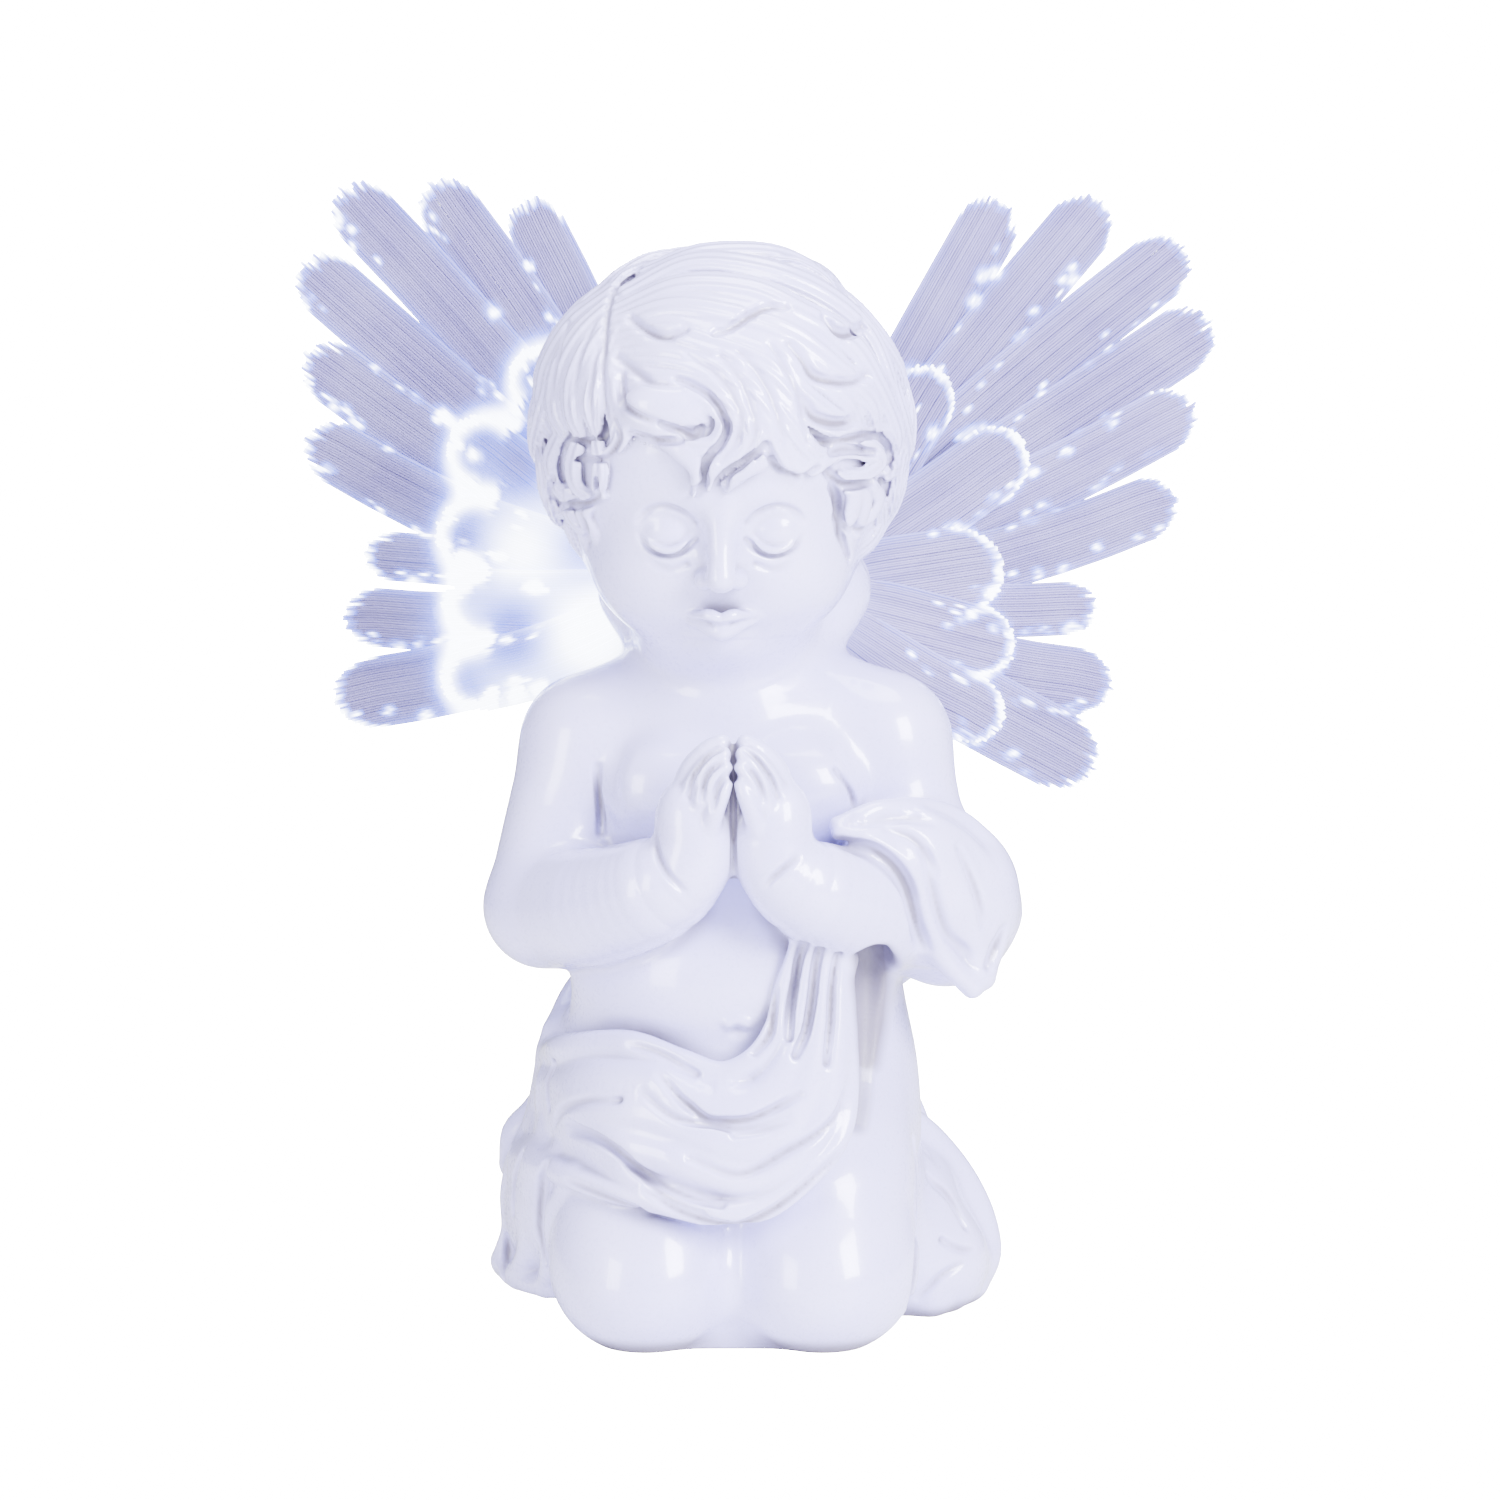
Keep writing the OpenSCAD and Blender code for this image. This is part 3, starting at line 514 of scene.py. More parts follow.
    # Cloth from the left elbow across the back to the right hip
    for k in range(5):
        low, out = 8 * k, 0.8 * math.sin(1.7 * k)
        c.stroke([(50, 4, 119 - 0.7 * low), (36, 26 + out, 112 - 0.9 * low), (8, 35 + out, 106 - low),
                  (-22, 32 + out, 95 - low), (-38, 20, 84 - 0.8 * low), (-45, 4, 74 - 0.5 * low)],
                 [3.6, 4.4, 4.8, 4.8, 4.2, 3.6], soft=2.2)


def sleeve(c):
    # Cloth wound over the left forearm, its end hanging off the elbow
    c.stroke([(44, 0, 124), (50, -3, 114), (53, -4, 104)], [14, 16.5, 17.5], soft=3)
    c.egg((56, -7, 110), (15.5, 17, 18), 4)
    c.egg((42, -21, 121), (15, 14, 13), 4)
    c.egg((49, -16, 113), (14, 15, 17), 4)
    c.stroke([(33, -30, 128), (44, -28, 124), (50, -22, 112), (54, -18, 100)], [5, 9, 11, 9],
             [4, 5, 5, 4.5],
             up=lambda p: (p[0] - 42, p[1], p[2] - 108), soft=4)
    rims = [([1.6, 2.4, 2.6, 2.4, 2.2, 2.0], [(25, -33.5, 131), (35.5, -30, 134), (48.5, -20, 133),
                                              (59, -12, 127.5),
                                             (65.5, -8, 116), (66.5, -7, 105)]),
            ([1.8, 2.2, 2.6, 2.6, 2.8, 2.6], [(26, -35.5, 129), (35.5, -36, 125.5), (42, -33, 118),
                                              (46, -29, 107.5),
                                             (51.5, -25, 97), (59, -21, 88.5)]),
            ([1.6, 2.2, 2.6, 2.6, 2.4], [(32, -34.5, 130.5), (46, -29, 126), (54, -24, 115), (58, -21, 103),
                                         (61.5, -18, 93)]),
            ([1.6, 2.0, 2.4, 2.4], [(46, -27, 131.5), (57, -20, 124), (62, -17, 112), (64, -14, 99)])]
    for wide, path in rims:
        c.stroke(path, wide, soft=3.2)
    # Hanging end
    c.stroke([(55, -9, 104), (59.5, -14, 97), (60, -18, 91)], [9, 7, 5.4], [8, 5, 3.6], up=(0.4, -1, 0),
             soft=3)
    c.stroke([(64.5, -6, 110), (67.5, -4, 105), (66, -7, 101)], [5, 4.2, 3], soft=3)
    for wide, deep, places in (
            (2.2, 3.4, [(26.5, 126), (33, 125), (38, 121.5), (41.5, 116.5), (43.5, 110.5), (45, 104.5),
                        (47, 99)]),
            (1.0, 1.2, [(47, 123), (49.5, 111.5), (52.5, 103), (57.5, 97.5)]),
            (1.0, 1.2, [(37.5, 130), (44.5, 126.5), (49.5, 119)]),
            (1.0, 1.2, [(55.5, 124), (59.5, 114), (62, 104.5)]), (1.0, 1.0,
                                                                  [(31.5, 131.5), (40.5, 132),
                                                                   (49, 131.5)]),
            (1.4, 1.6, [(67, 102.5), (64.5, 97.5), (63, 94)])):
        c.crease(wide, deep, places, 2)


# ---------------------------------------------------------------- head
HEAD_AT = np.array((-3.0, -1.0, 221.0))
NOD = turned(ax=15)


def on_face(x, y, z):
    """A place on the bowed head, from its middle: x to its left, y back, z up."""
    return tuple(HEAD_AT + NOD @ np.array((x, y, z), float))


def head(c):
    # A calm child's face of plain proportions, looking down
    def egg(centre, radii, soft=3, carve=False):
        c.egg(on_face(*centre), radii, soft, NOD, carve)

    def stroke(points, wide, thick=None, soft=1.0, carve=False):
        c.stroke([on_face(*p) for p in points], wide, thick, up=NOD @ np.array((0, -1, 0.0)), soft=soft,
                 carve=carve)

    egg((0, 0, 0), (41, 43, 43), 0)
    egg((0, -12, -22), (31, 27, 26), 12)
    egg((0, -18, -36), (17, 16, 13), 10)
    for s in (1, -1):
        egg((s * 15.5, -24, -24), (13.5, 12.5, 12.5), 8)
        egg((s * 12.8, -45.6, -8.5), (9.8, 6.8, 6), 5, carve=True)
    egg((0, -31, -38), (6.5, 5.5, 5), 6)
    # Nose
    stroke([(0, -40, -3), (0, -43.5, -12), (0, -46.5, -18.5)], [2.6, 3, 3.7], soft=4)
    for s in (1, -1):
        egg((s * 3.9, -43.2, -20), (2.7, 3, 2.4), 1.6)
        egg((s * 2.0, -46.2, -22.6), (1.1, 1.6, 1.0), 0.8, carve=True)
    # Lips and the hollows round them
    stroke([(0, -44.2, -25), (0, -44, -27.5)], 0.6, soft=2, carve=True)
    stroke([(-8, -38.5, -31), (-3.2, -43, -29), (0, -43.6, -29.8), (3.2, -43, -29), (8, -38.5, -31)],
           [0.7, 1.7, 1.5, 1.7, 0.7], soft=2.2)
    stroke([(-6.5, -39, -32), (0, -42, -33.6), (6.5, -39, -32)], [0.9, 2.3, 0.9], soft=2.4)
    stroke([(-8.5, -39.5, -31.2), (-3, -44.3, -31), (0, -44.9, -31.5), (3, -44.3, -31),
            (8.5, -39.5, -31.2)],
           [0.6, 0.7, 0.7, 0.7, 0.6], soft=1.2, carve=True)
    # Eyes, calmly closed: the lid over the ball, the lash line and the fold over the lid
    for s in (1, -1):
        egg((s * 12.8, -32.6, -9.5), (7.8, 7.8, 7.0), 0.8)
        stroke([(s * 6.2, -38.2, -9.6), (s * 9.4, -40.2, -12.2), (s * 13, -40.6, -13.2),
                (s * 16.8, -39, -12.2),
                (s * 20.2, -35.2, -9.2)], [0.5, 0.9, 1.0, 0.9, 0.5], soft=1.0)
        for wide, deep, places in (
                (0.8, 0.9, [(6.4, -6.4), (9.2, -3.6), (13.2, -2.4), (17.2, -3.6), (20.6, -7)]),
                (0.7, 1.1, [(6.0, -10.6), (9.3, -13.5), (13, -14.6), (17, -13.4), (20.4, -10.2)]),
                (0.8, 0.5, [(8.2, -16.6), (12.6, -18.2), (17.5, -16.8)])):
            c.crease(wide, deep, [on_face(s * x, -56, z) for x, z in places], 1.0,
                     lambda p: NOD @ np.array((0, 1.0, 0)), 30)
        # Ear, mostly under the hair
        egg((s * 40, 2, -10), (4, 7, 10), 2)


HAIR_AT = np.array((-3.0, 0.5, 226.0))
HAIR_R = np.array((45.0, 46.5, 44.3))


def on_hair(az, el, lift=0.0):
    """A place over the scalp: az turns from front to left, el is up from level, in degrees."""
    a, e = math.radians(az), math.radians(el)
    return HAIR_AT + np.array((math.sin(a) * math.cos(e), -math.cos(a) * math.cos(e),
                               math.sin(e))) * (HAIR_R + lift)


def outward(place):
    """Direction away from the middle of the head."""
    d = np.array(place) - HAIR_AT
    return d / np.linalg.norm(d)


def lock(c, wide, places, lift=0.6, rise=0.9, comb=0.5):
    """A lock of hair with combed grooves. Its middle stands out from the scalp and its ends dip in."""
    n = len(places)
    share = np.linspace(0, 1, n)
    tucked = share > 0.99
    path = [on_hair(a, e, lift + rise * math.sin(math.pi * s) - 0.8 * t * (wide > 3))
            for (a, e), s, t in zip(places, share, tucked)]
    taper = [wide * (0.62 + 0.38 * math.sin(math.pi * min(1, 0.18 + 0.9 * s))) * (0.55 if t else 1)
             for s, t in zip(share, tucked)]
    flat = [max(1.4, 0.52 * w) for w in taper]
    c.stroke(path, taper, flat, up=outward, soft=0.8, ribs=10 if wide > 3.8 else 6 if wide > 2.9 else 0,
             depth=comb)


# Back hair: the azimuth where its rows start and the arc they span, in degrees, and how far a curl swings
BACK_FROM, BACK_ARC, CURL_SWING = 76, 208, 8.5


def hair(c):
    # Scalp: everything above and behind the hairline
    cap = c.blank()
    cap.egg(HAIR_AT, HAIR_R - 0.2, 0)
    cap.egg(on_face(0, -30, -34), (36, 40, 44), 6, NOD, carve=True)
    h = np.maximum(3 - np.abs(c.field - cap.field), 0) / 3
    c.field = np.minimum(c.field, cap.field) - h * h * 0.75
    # Swept from the parting over the crown to the left side
    front = [(5.5, [(-52, 58), (-19, 71), (50, 71), (72, 60), (64, 48)]),
             (4, [(39, 62), (73, 61), (88, 55), (66, 47)]),
             (6, [(-48, 47), (-20, 62), (22, 58), (48, 47), (63, 32), (67, 15), (76, 2)]),
             (6, [(-45, 39), (-19, 49), (12, 47), (30, 38), (48, 28), (57, 14), (68, 0), (72, -7)]),
             (6, [(-43, 34), (-20, 40), (3, 37), (24, 30), (39, 19), (52, 10), (58, 1)]),
             (5.5, [(-40, 28), (-21, 31), (-4, 27), (14, 20), (25, 10), (39, 2), (54, -1)]),
             (5, [(-37, 23), (-19, 23), (-3, 19), (10, 13), (20, 2), (28, -6), (38, -7)]),
             (4.5, [(-35, 19), (-22, 17), (-6, 15), (5, 8), (10, 0), (8, -8), (3, -13), (2, -17)]),
             (3.5, [(-9, 18), (4, 14), (14, 7), (17, -2), (21, -9), (25, -13)])]
    # Curls over the forehead
    curls = [(3.2, [(-34, 13), (-25, 13), (-12, 16), (-3, 12), (2, 4), (-1, -3), (-8, -4), (-14, 0),
                    (-11, 5), (-5, 3)]),
             (3, [(-34, 8), (-27, 2), (-20, -1), (-13, -2)]),
             (2.6, [(-19, -1), (-12, -5), (-7, -11), (-9, -19)]),
             (2.4, [(7, -2), (2, -6), (-3, -11), (-4, -17)]),
             (2.6, [(15, -2), (12, -8), (6, -11), (2, -17)]),
             (2.6, [(18, -3), (24, -10), (30, -10), (36, -7)])]
    # Tiers over the left ear, then over the right
    left = [(3.4, [(34, -8), (40, -4), (50, -5), (57, -9), (50, -13), (42, -12)]),
            (3.2, [(61, 2), (74, -3), (78, -10), (64, -13), (58, -17)]),
            (2.6, [(39, -14), (47, -18), (49, -26), (48, -31), (58, -41)]),
            (2.6, [(53, -15), (63, -21), (61, -28), (58, -33), (76, -44)]),
            (2.4, [(46, -14), (54, -21), (56, -28), (61, -38)])]
    right = [(6.5, [(-60, 48), (-70, 34), (-74, 19), (-71, 6), (-63, -3)]),
             (6, [(-52, 44), (-58, 31), (-61, 18), (-60, 6), (-55, -3)]),
             (5.5, [(-46, 38), (-49, 26), (-51, 15), (-50, 5), (-47, -3)]),
             (5, [(-41, 32), (-41, 19), (-42, 8), (-41, -2)]),
             (3.6, [(-40, 27), (-36, 14), (-33, 5), (-35, -3)]),
             (2.4, [(-36, 16), (-31, 7), (-30, 1), (-33, -4), (-39, -7)]),
             (3.4, [(-60, -1), (-66, -9), (-65, -18), (-58, -21)]),
             (3.4, [(-49, -2), (-52, -10), (-52, -17), (-47, -21)]),
             (3.0, [(-41, -3), (-40, -11), (-42, -17), (-41, -20)]),
             (3.0, [(-61, -18), (-63, -25), (-61, -31), (-53, -32)]),
             (2.8, [(-48, -20), (-54, -26), (-53, -33), (-52, -37)]),
             (2.6, [(-61, -31), (-64, -38), (-64, -44), (-72, -50)])]
    # Back and sides: four rows of curls, each row's ends lying over the next, the lowest laid first
    rng = np.random.default_rng(11)
    for top, foot, count, wide in ((-24, -46, 11, 4.4), (-2, -30, 12, 4.8), (24, -8, 12, 5.4),
                                   (52, 14, 10, 6.0)):
        for k in range(count):
            az = BACK_FROM + (k + rng.uniform(-0.15, 0.15)) * BACK_ARC / (count - 1)
            way = (1 if (k + count) % 2 else -1) * rng.uniform(0.7, 1.15)
            drop = top - foot
            wide_az = CURL_SWING / math.cos(math.radians(foot + 0.4 * drop))
            places = [(az - 0.3 * way * wide_az, top), (az + 0.5 * way * wide_az, top - 0.3 * drop),
                      (az + 0.2 * way * wide_az, top - 0.6 * drop), (az - 0.7 * way * wide_az,
                                                                     top - 0.85 * drop),
                      (az - 0.9 * way * wide_az, foot), (az - 0.3 * way * wide_az, foot - 3)]
            lock(c, wide * rng.uniform(0.85, 1.1), places, 0.2, 1.2)
    for k in range(9):
        az = 88 + k * 23
        lock(c, 5.2, [(az - 30, 80), (az - 8, 66), (az + 6, 54), (az - 2, 42)], 0.2, 0.8)
    for places in ([(0, 44), (22, 38), (40, 27), (52, 14)], [(4, 32), (24, 25), (40, 14), (50, 2)]):
        lock(c, 7, places, 0.0, 0.6, 0.2)
    for wide, places in right[::-1] + left[::-1] + front + curls:
        lock(c, wide, places, comb=0.32)
    lock(c, 3.4, [(40, 66), (52, 60), (60, 52), (62, 46)], 1.4, 1.4)
    lock(c, 3.0, [(-60, 64), (-62, 54), (-60, 44)], 1.2, 1.0)
    c.egg(on_hair(-16, 8.5, -0.6), (11.5, 6, 6.8), 2.5)
    # Parting, the lines of the comb, and the deep hollows under the waves and curls
    grooves = [
        (0.9, 1.2, [(-53, 58), (-53, 54), (-54, 47), (-46, 36), (-41, 26), (-38, 16), (-36, 8), (-34, 2)]),
        (0.7, 0.7, [(-50, 33), (-49, 22), (-49, 11)]),
        (0.7, 0.7, [(-44, 27), (-42, 16), (-41, 2)]),
        (0.7, 0.6, [(-67, 33), (-61, 21), (-59, 10)]),
        (1.1, 1.8, [(-58, -5), (-53, -2), (-45, -3), (-40, -2), (-38, 1), (-37, 6)]),
        (1.0, 1.3, [(-33, 4), (-31, -1), (-35, -6), (-39, -8), (-50, -8)]),
        (1.1, 1.6, [(-64, -14), (-72, -20), (-66, -23), (-57, -23), (-48, -22), (-43, -19), (-41, -14)]),
        (1.0, 1.2, [(-54, -24), (-54, -30), (-59, -36)]),
        (1.0, 1.1, [(-71, -27), (-86, -35), (-85, -41)]),
        (1.3, 1.3, [(-35, 36), (-25, 31), (-18, 29), (-12, 31)]),
        (1.3, 1.4, [(-2, 30), (5, 33), (12, 37), (17, 39), (24, 39)]),
        (1.7, 1.6, [(39, 35), (42, 31), (48, 30), (59, 33)]),
        (1.5, 1.3, [(22, 26), (26, 21), (29, 17), (36, 15), (44, 15), (50, 17)]),
        (1.8, 1.9, [(25, 9), (28, 5), (34, 3), (40, 3), (44, 4)]),
        (1.3, 1.8, [(29, -2), (34, -3), (42, -2), (50, -1), (59, -2)]),
        (1.3, 2.0, [(35, -6), (42, -5), (52, -6)]),
        (1.3, 1.6, [(59, -2), (66, -7), (65, -12)]),
        (1.4, 2.1, [(34, -10), (38, -14), (42, -16), (49, -16), (55, -15)]),
        (1.5, 2.1, [(39, -17), (43, -22), (47, -31), (56, -40)]),
        (1.0, 1.2, [(58, -13), (65, -18), (68, -23), (65, -27)]),
        (1.0, 1.2, [(48, -30), (58, -31), (66, -28)]),
        (1.2, 1.7, [(-13, 16), (-8, 14), (-3, 11), (0, 7), (2, 2), (0, -3), (-3, -6), (-5, -11), (-5, -15),
                    (-10, -18)]),
        (1.3, 2.0, [(1, -16), (2, -12), (6, -9), (10, -6), (13, -3)]),
        (1.1, 1.5, [(14, -5), (16, -9), (21, -12), (25, -13), (30, -10)]),
        (0.9, 0.8, [(-10, 23), (-2, 18), (3, 12), (6, 4), (4, -3), (0, -8)]),
        (0.9, 0.8, [(0, 23), (6, 15), (9, 7), (10, 0), (7, -6)]),
        (0.9, 0.8, [(6, 24), (12, 16), (16, 7), (18, -2)]),
        (0.9, 0.8, [(16, 26), (21, 16), (24, 8), (26, -2)]),
        (1.2, 1.3, [(-32, 18), (-30, 10), (-25, 6), (-18, 3)]),
        (1.3, 1.8, [(-17, 3), (-12, 1), (-8, -1), (-6, 2)]),
        (1.2, 1.7, [(-27, 0), (-23, -1), (-18, -2), (-12, -2)]),
        (1.2, 1.1, [(-35, 23), (-28, 19), (-21, 15), (-12, 14)])]
    for wide, deep, places in grooves:
        wide, deep = (0.95 * wide, 1.3 * deep) if deep > 1.25 else (wide, deep)
        c.crease(wide, deep, [on_hair(a, e, 9) for a, e in places], 1.3, lambda p: -outward(p))


# ---------------------------------------------------------------- seats
# Radii and depths of the bores for the wing brackets, and the power module's pocket, in millimetres
FLANGE_BORE, SPIGOT_BORE, SPIGOT_LONG, BORE_OUT = 12.0, 6.1, 12.2, 30
PAD_EDGE, POCKET_GAP, POCKET_DEEP = 8, 1, 0.85
# Half sizes of the underside's rim and of the base board's pocket, and the height of the underside
RIM_HALF, RIM_CORNER, BOARD_HALF, BOARD_CORNER, FOOT = (37, 43), 19, (32, 38), 14, 0.3


def seats(c):
    # Boss between the shoulder blades that carries both wing hubs
    for hub, turn in HUBS:
        ends = [hub + turn @ np.array((0.0, y, 0)) for y in (-22, -13)]
        c.stroke([(hub[0] * 0.6, 12, 166), ends[0], ends[1]], [12, 12, 12.8], soft=5)
    pad = FLANGE + PAD_EDGE
    c.box((-pad[0] / 2, -14, -pad[1] / 2), (pad[0] / 2, 0, pad[1] / 2), turn=LEAN, origin=MODULE_AT,
          carve=False, soft=4)
    c.box((-RIM_HALF[0], SEAT_Y - RIM_HALF[1], FOOT), (RIM_HALF[0], SEAT_Y + RIM_HALF[1], 7),
          corner=RIM_CORNER, carve=False, soft=3)
    c.egg((0, 50, 9), (15, 12, 9), 5)
    # Underside, and the pocket for the base board
    c.box((-90, -90, -20), (90, 90, FOOT))
    c.box((-BOARD_HALF[0], SEAT_Y - BOARD_HALF[1], -4), (BOARD_HALF[0], SEAT_Y + BOARD_HALF[1], 4),
          corner=BOARD_CORNER)
    for hub, turn in HUBS:
        c.bore(hub, turn, FLANGE_BORE, 0, BORE_OUT)
        c.bore(hub, turn, SPIGOT_BORE, -SPIGOT_LONG, 3)
    wide, tall = (FLANGE + POCKET_GAP) / 2
    c.box((-wide, -POCKET_DEEP, -tall), (wide, BORE_OUT, tall), turn=LEAN, origin=MODULE_AT)
    c.box((-27.5, -17, -44.5), (27.5, 23, 44.5), turn=LEAN, origin=MODULE_AT)


def cast_body():
    c = Clay((-72, -64, -1), (78, 82, 282))
    body(c)
    legs(c)
    arms(c)
    hands(c)
    drape(c)
    sleeve(c)
    head(c)
    hair(c)
    seats(c)
    return c.mesh("cherub")


# ---------------------------------------------------------------- wings
# Fibres' thickness, the share of it from one fibre to the next, and the length of one piece of a fibre
FIBRE, PACKED, STEP = 0.75, 0.88, 2.2
SIDES = 6
# Nicked fibres on a cover feather and on a long one, the share of fibres cut short, and how near layers count
COVER_NICKS, LONG_NICKS, CUT_SHORT, NEAR_LAYER = 5, 11, 0.07, 6
# A wing's leaks, flooded or not: width of the arcs round its covers, then strength and reach round its hub
LEAKS = {True: (3.4, 0.5, 30), False: (1.2, 0.12, 16)}


class Feather:
    """One feather's outline, read from its CAD solid in the frame of its wing, along it and across."""

    def __init__(self, node, hub, turn, side):
        mesh = frame["nodes"][node].data
        co = np.empty(len(mesh.vertices) * 3)
        mesh.vertices.foreach_get("co", co)
        ends = np.empty(len(mesh.edges) * 2, int)
        mesh.edges.foreach_get("vertices", ends)
        local = (co.reshape(-1, 3) / MM - hub) @ turn
        self.node, self.depth = node, local[:, 1].mean()
        x, z = side * local[:, 0], local[:, 2]
        far = np.argmax(x * x + z * z)
        self.reach = math.hypot(x[far], z[far])
        self.way = (x[far] / self.reach, z[far] / self.reach)
        u, v = self.to_uv(x, z)
        a, b = ends.reshape(-1, 2).T
        self.u = np.linspace(u.min() + 0.05, self.reach - 0.05, 90)
        low, high = [], []
        for c in self.u:
            cross = (u[a] - c) * (u[b] - c) < 0
            t = (c - u[a][cross]) / (u[b][cross] - u[a][cross])
            hit = v[a][cross] + t * (v[b][cross] - v[a][cross])
            low.append(hit.min())
            high.append(hit.max())
        self.mid, self.half = (np.array(low) + high) / 2, (np.array(high) - low) / 2
        self.open = np.maximum.accumulate(self.half)
        self.round_from = self.u[np.where(self.half > 0.985 * self.half.max())[0][-1]]

    def to_uv(self, x, z):
        """Along the feather and across it."""
        return x * self.way[0] + z * self.way[1], z * self.way[0] - x * self.way[1]

    def holds(self, x, z):
        u, v = self.to_uv(x, z)
        return (u > self.u[0]) & (u < self.u[-1]) & (np.abs(v - np.interp(u, self.u,
                                                                          self.mid)) < np.interp(u, self.u,
                                                                                                 self.half))

    def rim(self, x, z):
        """Distance from the feather's round end."""
        u, v = self.to_uv(x, z)
        centre = self.round_from
        away = np.hypot(np.maximum(u - centre, 0), v - np.interp(centre, self.u, self.mid))
        return np.where(u > centre - 2, np.abs(away - self.open[-1]), 99.0)


def spill(x, z, covers, sparks, flood):
    """Light that leaves the fibres: round the covers' ends, at nicked fibres and by the hub."""
    arc, strength, reach = LEAKS[flood]
    light = np.zeros(len(x))
    for f in covers:
        broken = 1 if flood else 0.62 + 0.38 * np.sin(1.3 * x + 0.7 * z + f.reach)
        light += 0.9 * broken * np.exp(-(f.rim(x, z) / arc) ** 2)
    for sx, sz, size in sparks:
        light += 1.1 * np.exp(-((x - sx) ** 2 + (z - sz) ** 2) / size ** 2)
    r = np.hypot(x, z)
    light += strength * np.exp(-(r / reach) ** 2)
    if flood:
        light += 0.85 / (1 + np.exp((r - 60) / 5)) * (0.55 + 0.45 * np.sin(x / 6.3 + 1.1) * np.sin(z / 7.1))
    return light


def wing(side, s, hub, turn):
    """Lays the fibres of every feather of one wing. Light floods the right wing near its hub."""
    rng = np.random.default_rng(21 + s)
    names = [n for n in frame["nodes"] if n.startswith(side) and "feather" in n]
    feathers = [Feather(n, hub, turn, s) for n in names]
    covers = [f for f in feathers if "cover" in f.node]
    flood = s < 0
    # Nicked fibres, mostly on the lower edges, leak bright spots
    sparks = []
    for f in feathers:
        for _ in range(COVER_NICKS if f in covers else LONG_NICKS):
            u = rng.uniform(0.42, 0.97) * f.reach
            v = np.interp(u, f.u, f.mid) - rng.uniform(0.55, 1.0) * np.interp(u, f.u, f.half)
            sparks.append((u * f.way[0] - v * f.way[1], u * f.way[1] + v * f.way[0],
                           rng.choice([0.6, 0.8, 1.1, 1.6], p=[0.4, 0.3, 0.2, 0.1])))
    for f in feathers:
        verts, faces, glow, stack, hue = [], [], [], [], []
        count = max(9, int(round(2 * f.half.max() / (FIBRE * PACKED))))
        others = [o for o in feathers if o is not f and abs(o.depth - f.depth) < NEAR_LAYER]
        for k in range(count):
            share = (2 * k + 1) / count - 1
            fits = np.where(abs(share) * f.open <= f.half + 1e-6)[0]
            end = f.u[fits[-1]] - rng.uniform(0, 0.8) - (rng.random() < CUT_SHORT) * rng.uniform(0.8, 2.5)
            n = max(4, int((end - f.u[0]) / STEP))
            u = np.concatenate([np.linspace(f.u[0], end - 1.2, n), [end - 0.5, end]])
            v = np.interp(u, f.u, f.mid) + share * np.interp(u, f.u, f.open) + rng.uniform(-0.08, 0.08)
            x, z = u * f.way[0] - v * f.way[1], u * f.way[1] + v * f.way[0]
            r = FIBRE * 0.54 * (1 - 0.25 * (u > end - 0.1))
            slope = np.arctan2(np.gradient(z), np.gradient(x))
            base = sum(len(b) for b in verts)
            for a in np.arange(SIDES) * 2 * math.pi / SIDES:
                side_off, deep = r * math.cos(a), r * math.sin(a)
                ring = np.stack([s * (x - side_off * np.sin(slope)), f.depth + deep,
                                 z + side_off * np.cos(slope)], 1)
                verts.append(ring)
            m = len(u)
            for j in range(SIDES):
                p, q = base + j * m, base + ((j + 1) % SIDES) * m
                i = np.arange(m - 1)
                faces.append(np.stack([p + i, p + i + 1, q + i + 1, q + i], 1)[:, ::(1 if s > 0 else -1)])
            caps = [base + j * m + m - 1 for j in range(SIDES)]
            faces.append(np.array([caps[0:4], [caps[0], caps[3], caps[4], caps[5]]])[:,
                                                                                     ::(1 if s > 0 else -1)])
            light = spill(x, z, covers, sparks, flood)
            tip = np.exp(-((end - u) / (1.6 if flood else 1.0)) ** 2) * rng.choice([0.35, 0.8, 1.4],
                                                                                   p=[0.3, 0.4, 0.3])
            tip += (0.16 if flood else 0.1) * abs(share) ** 6 * (u > 0.4 * end)
            # Painted light: fibres over other feathers of the wing are lightened, for the light through the
            # stacked layers
            over = sum(o.holds(x, z).astype(float) for o in others)
            glow.append(np.tile(light + tip, SIDES))
            stack.append(np.tile(np.minimum(over, 3) / 3, SIDES))
            hue.append(np.full(SIDES * m, rng.random()))
        piece = quad_piece(f.node + "_fibres", np.vstack(verts) @ turn.T + hub, np.vstack(faces),
                           {"glow": np.concatenate(glow), "stack": np.concatenate(stack),
                            "strand": np.concatenate(hue)})
        piece.data.materials.append(finish("optical_fibre"))
        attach(piece, "figurine")
        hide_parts(f.node)


# ---------------------------------------------------------------- finishes
class Graph:
    """Adds nodes to a tree. An input is a plain value, or another node's output to link."""

    def __init__(self, tree):
        self.tree = tree

    def add(self, kind, out=0, inputs=(), **settings):
        n = self.tree.nodes.new("ShaderNode" + kind)
        for k, v in settings.items():
            setattr(n, k, v)
        for k, v in dict(inputs).items():
            self.put(n.inputs[k], v)
        return n.outputs[out]

    def put(self, socket, v):
        if isinstance(v, bpy.types.NodeSocket):
            self.tree.links.new(v, socket)
        else:
            socket.default_value = v

    def math(self, kind, a, b=0.0, c=0.0):
        return self.add("Math", operation=kind, inputs={0: a, 1: b, 2: c}, use_clamp=False)

    def fade(self, v, low, high, to_low=0.0, to_high=1.0):
        return self.add("MapRange", inputs={0: v, 1: low, 2: high, 3: to_low, 4: to_high})

    def mix(self, share, a, b, kind="MIX"):
        n = self.tree.nodes.new("ShaderNodeMix")
        n.data_type, n.blend_type = "RGBA", kind
        self.put(n.inputs[0], share)
        self.put(n.inputs[6], a)
        self.put(n.inputs[7], b)
        return n.outputs[2]


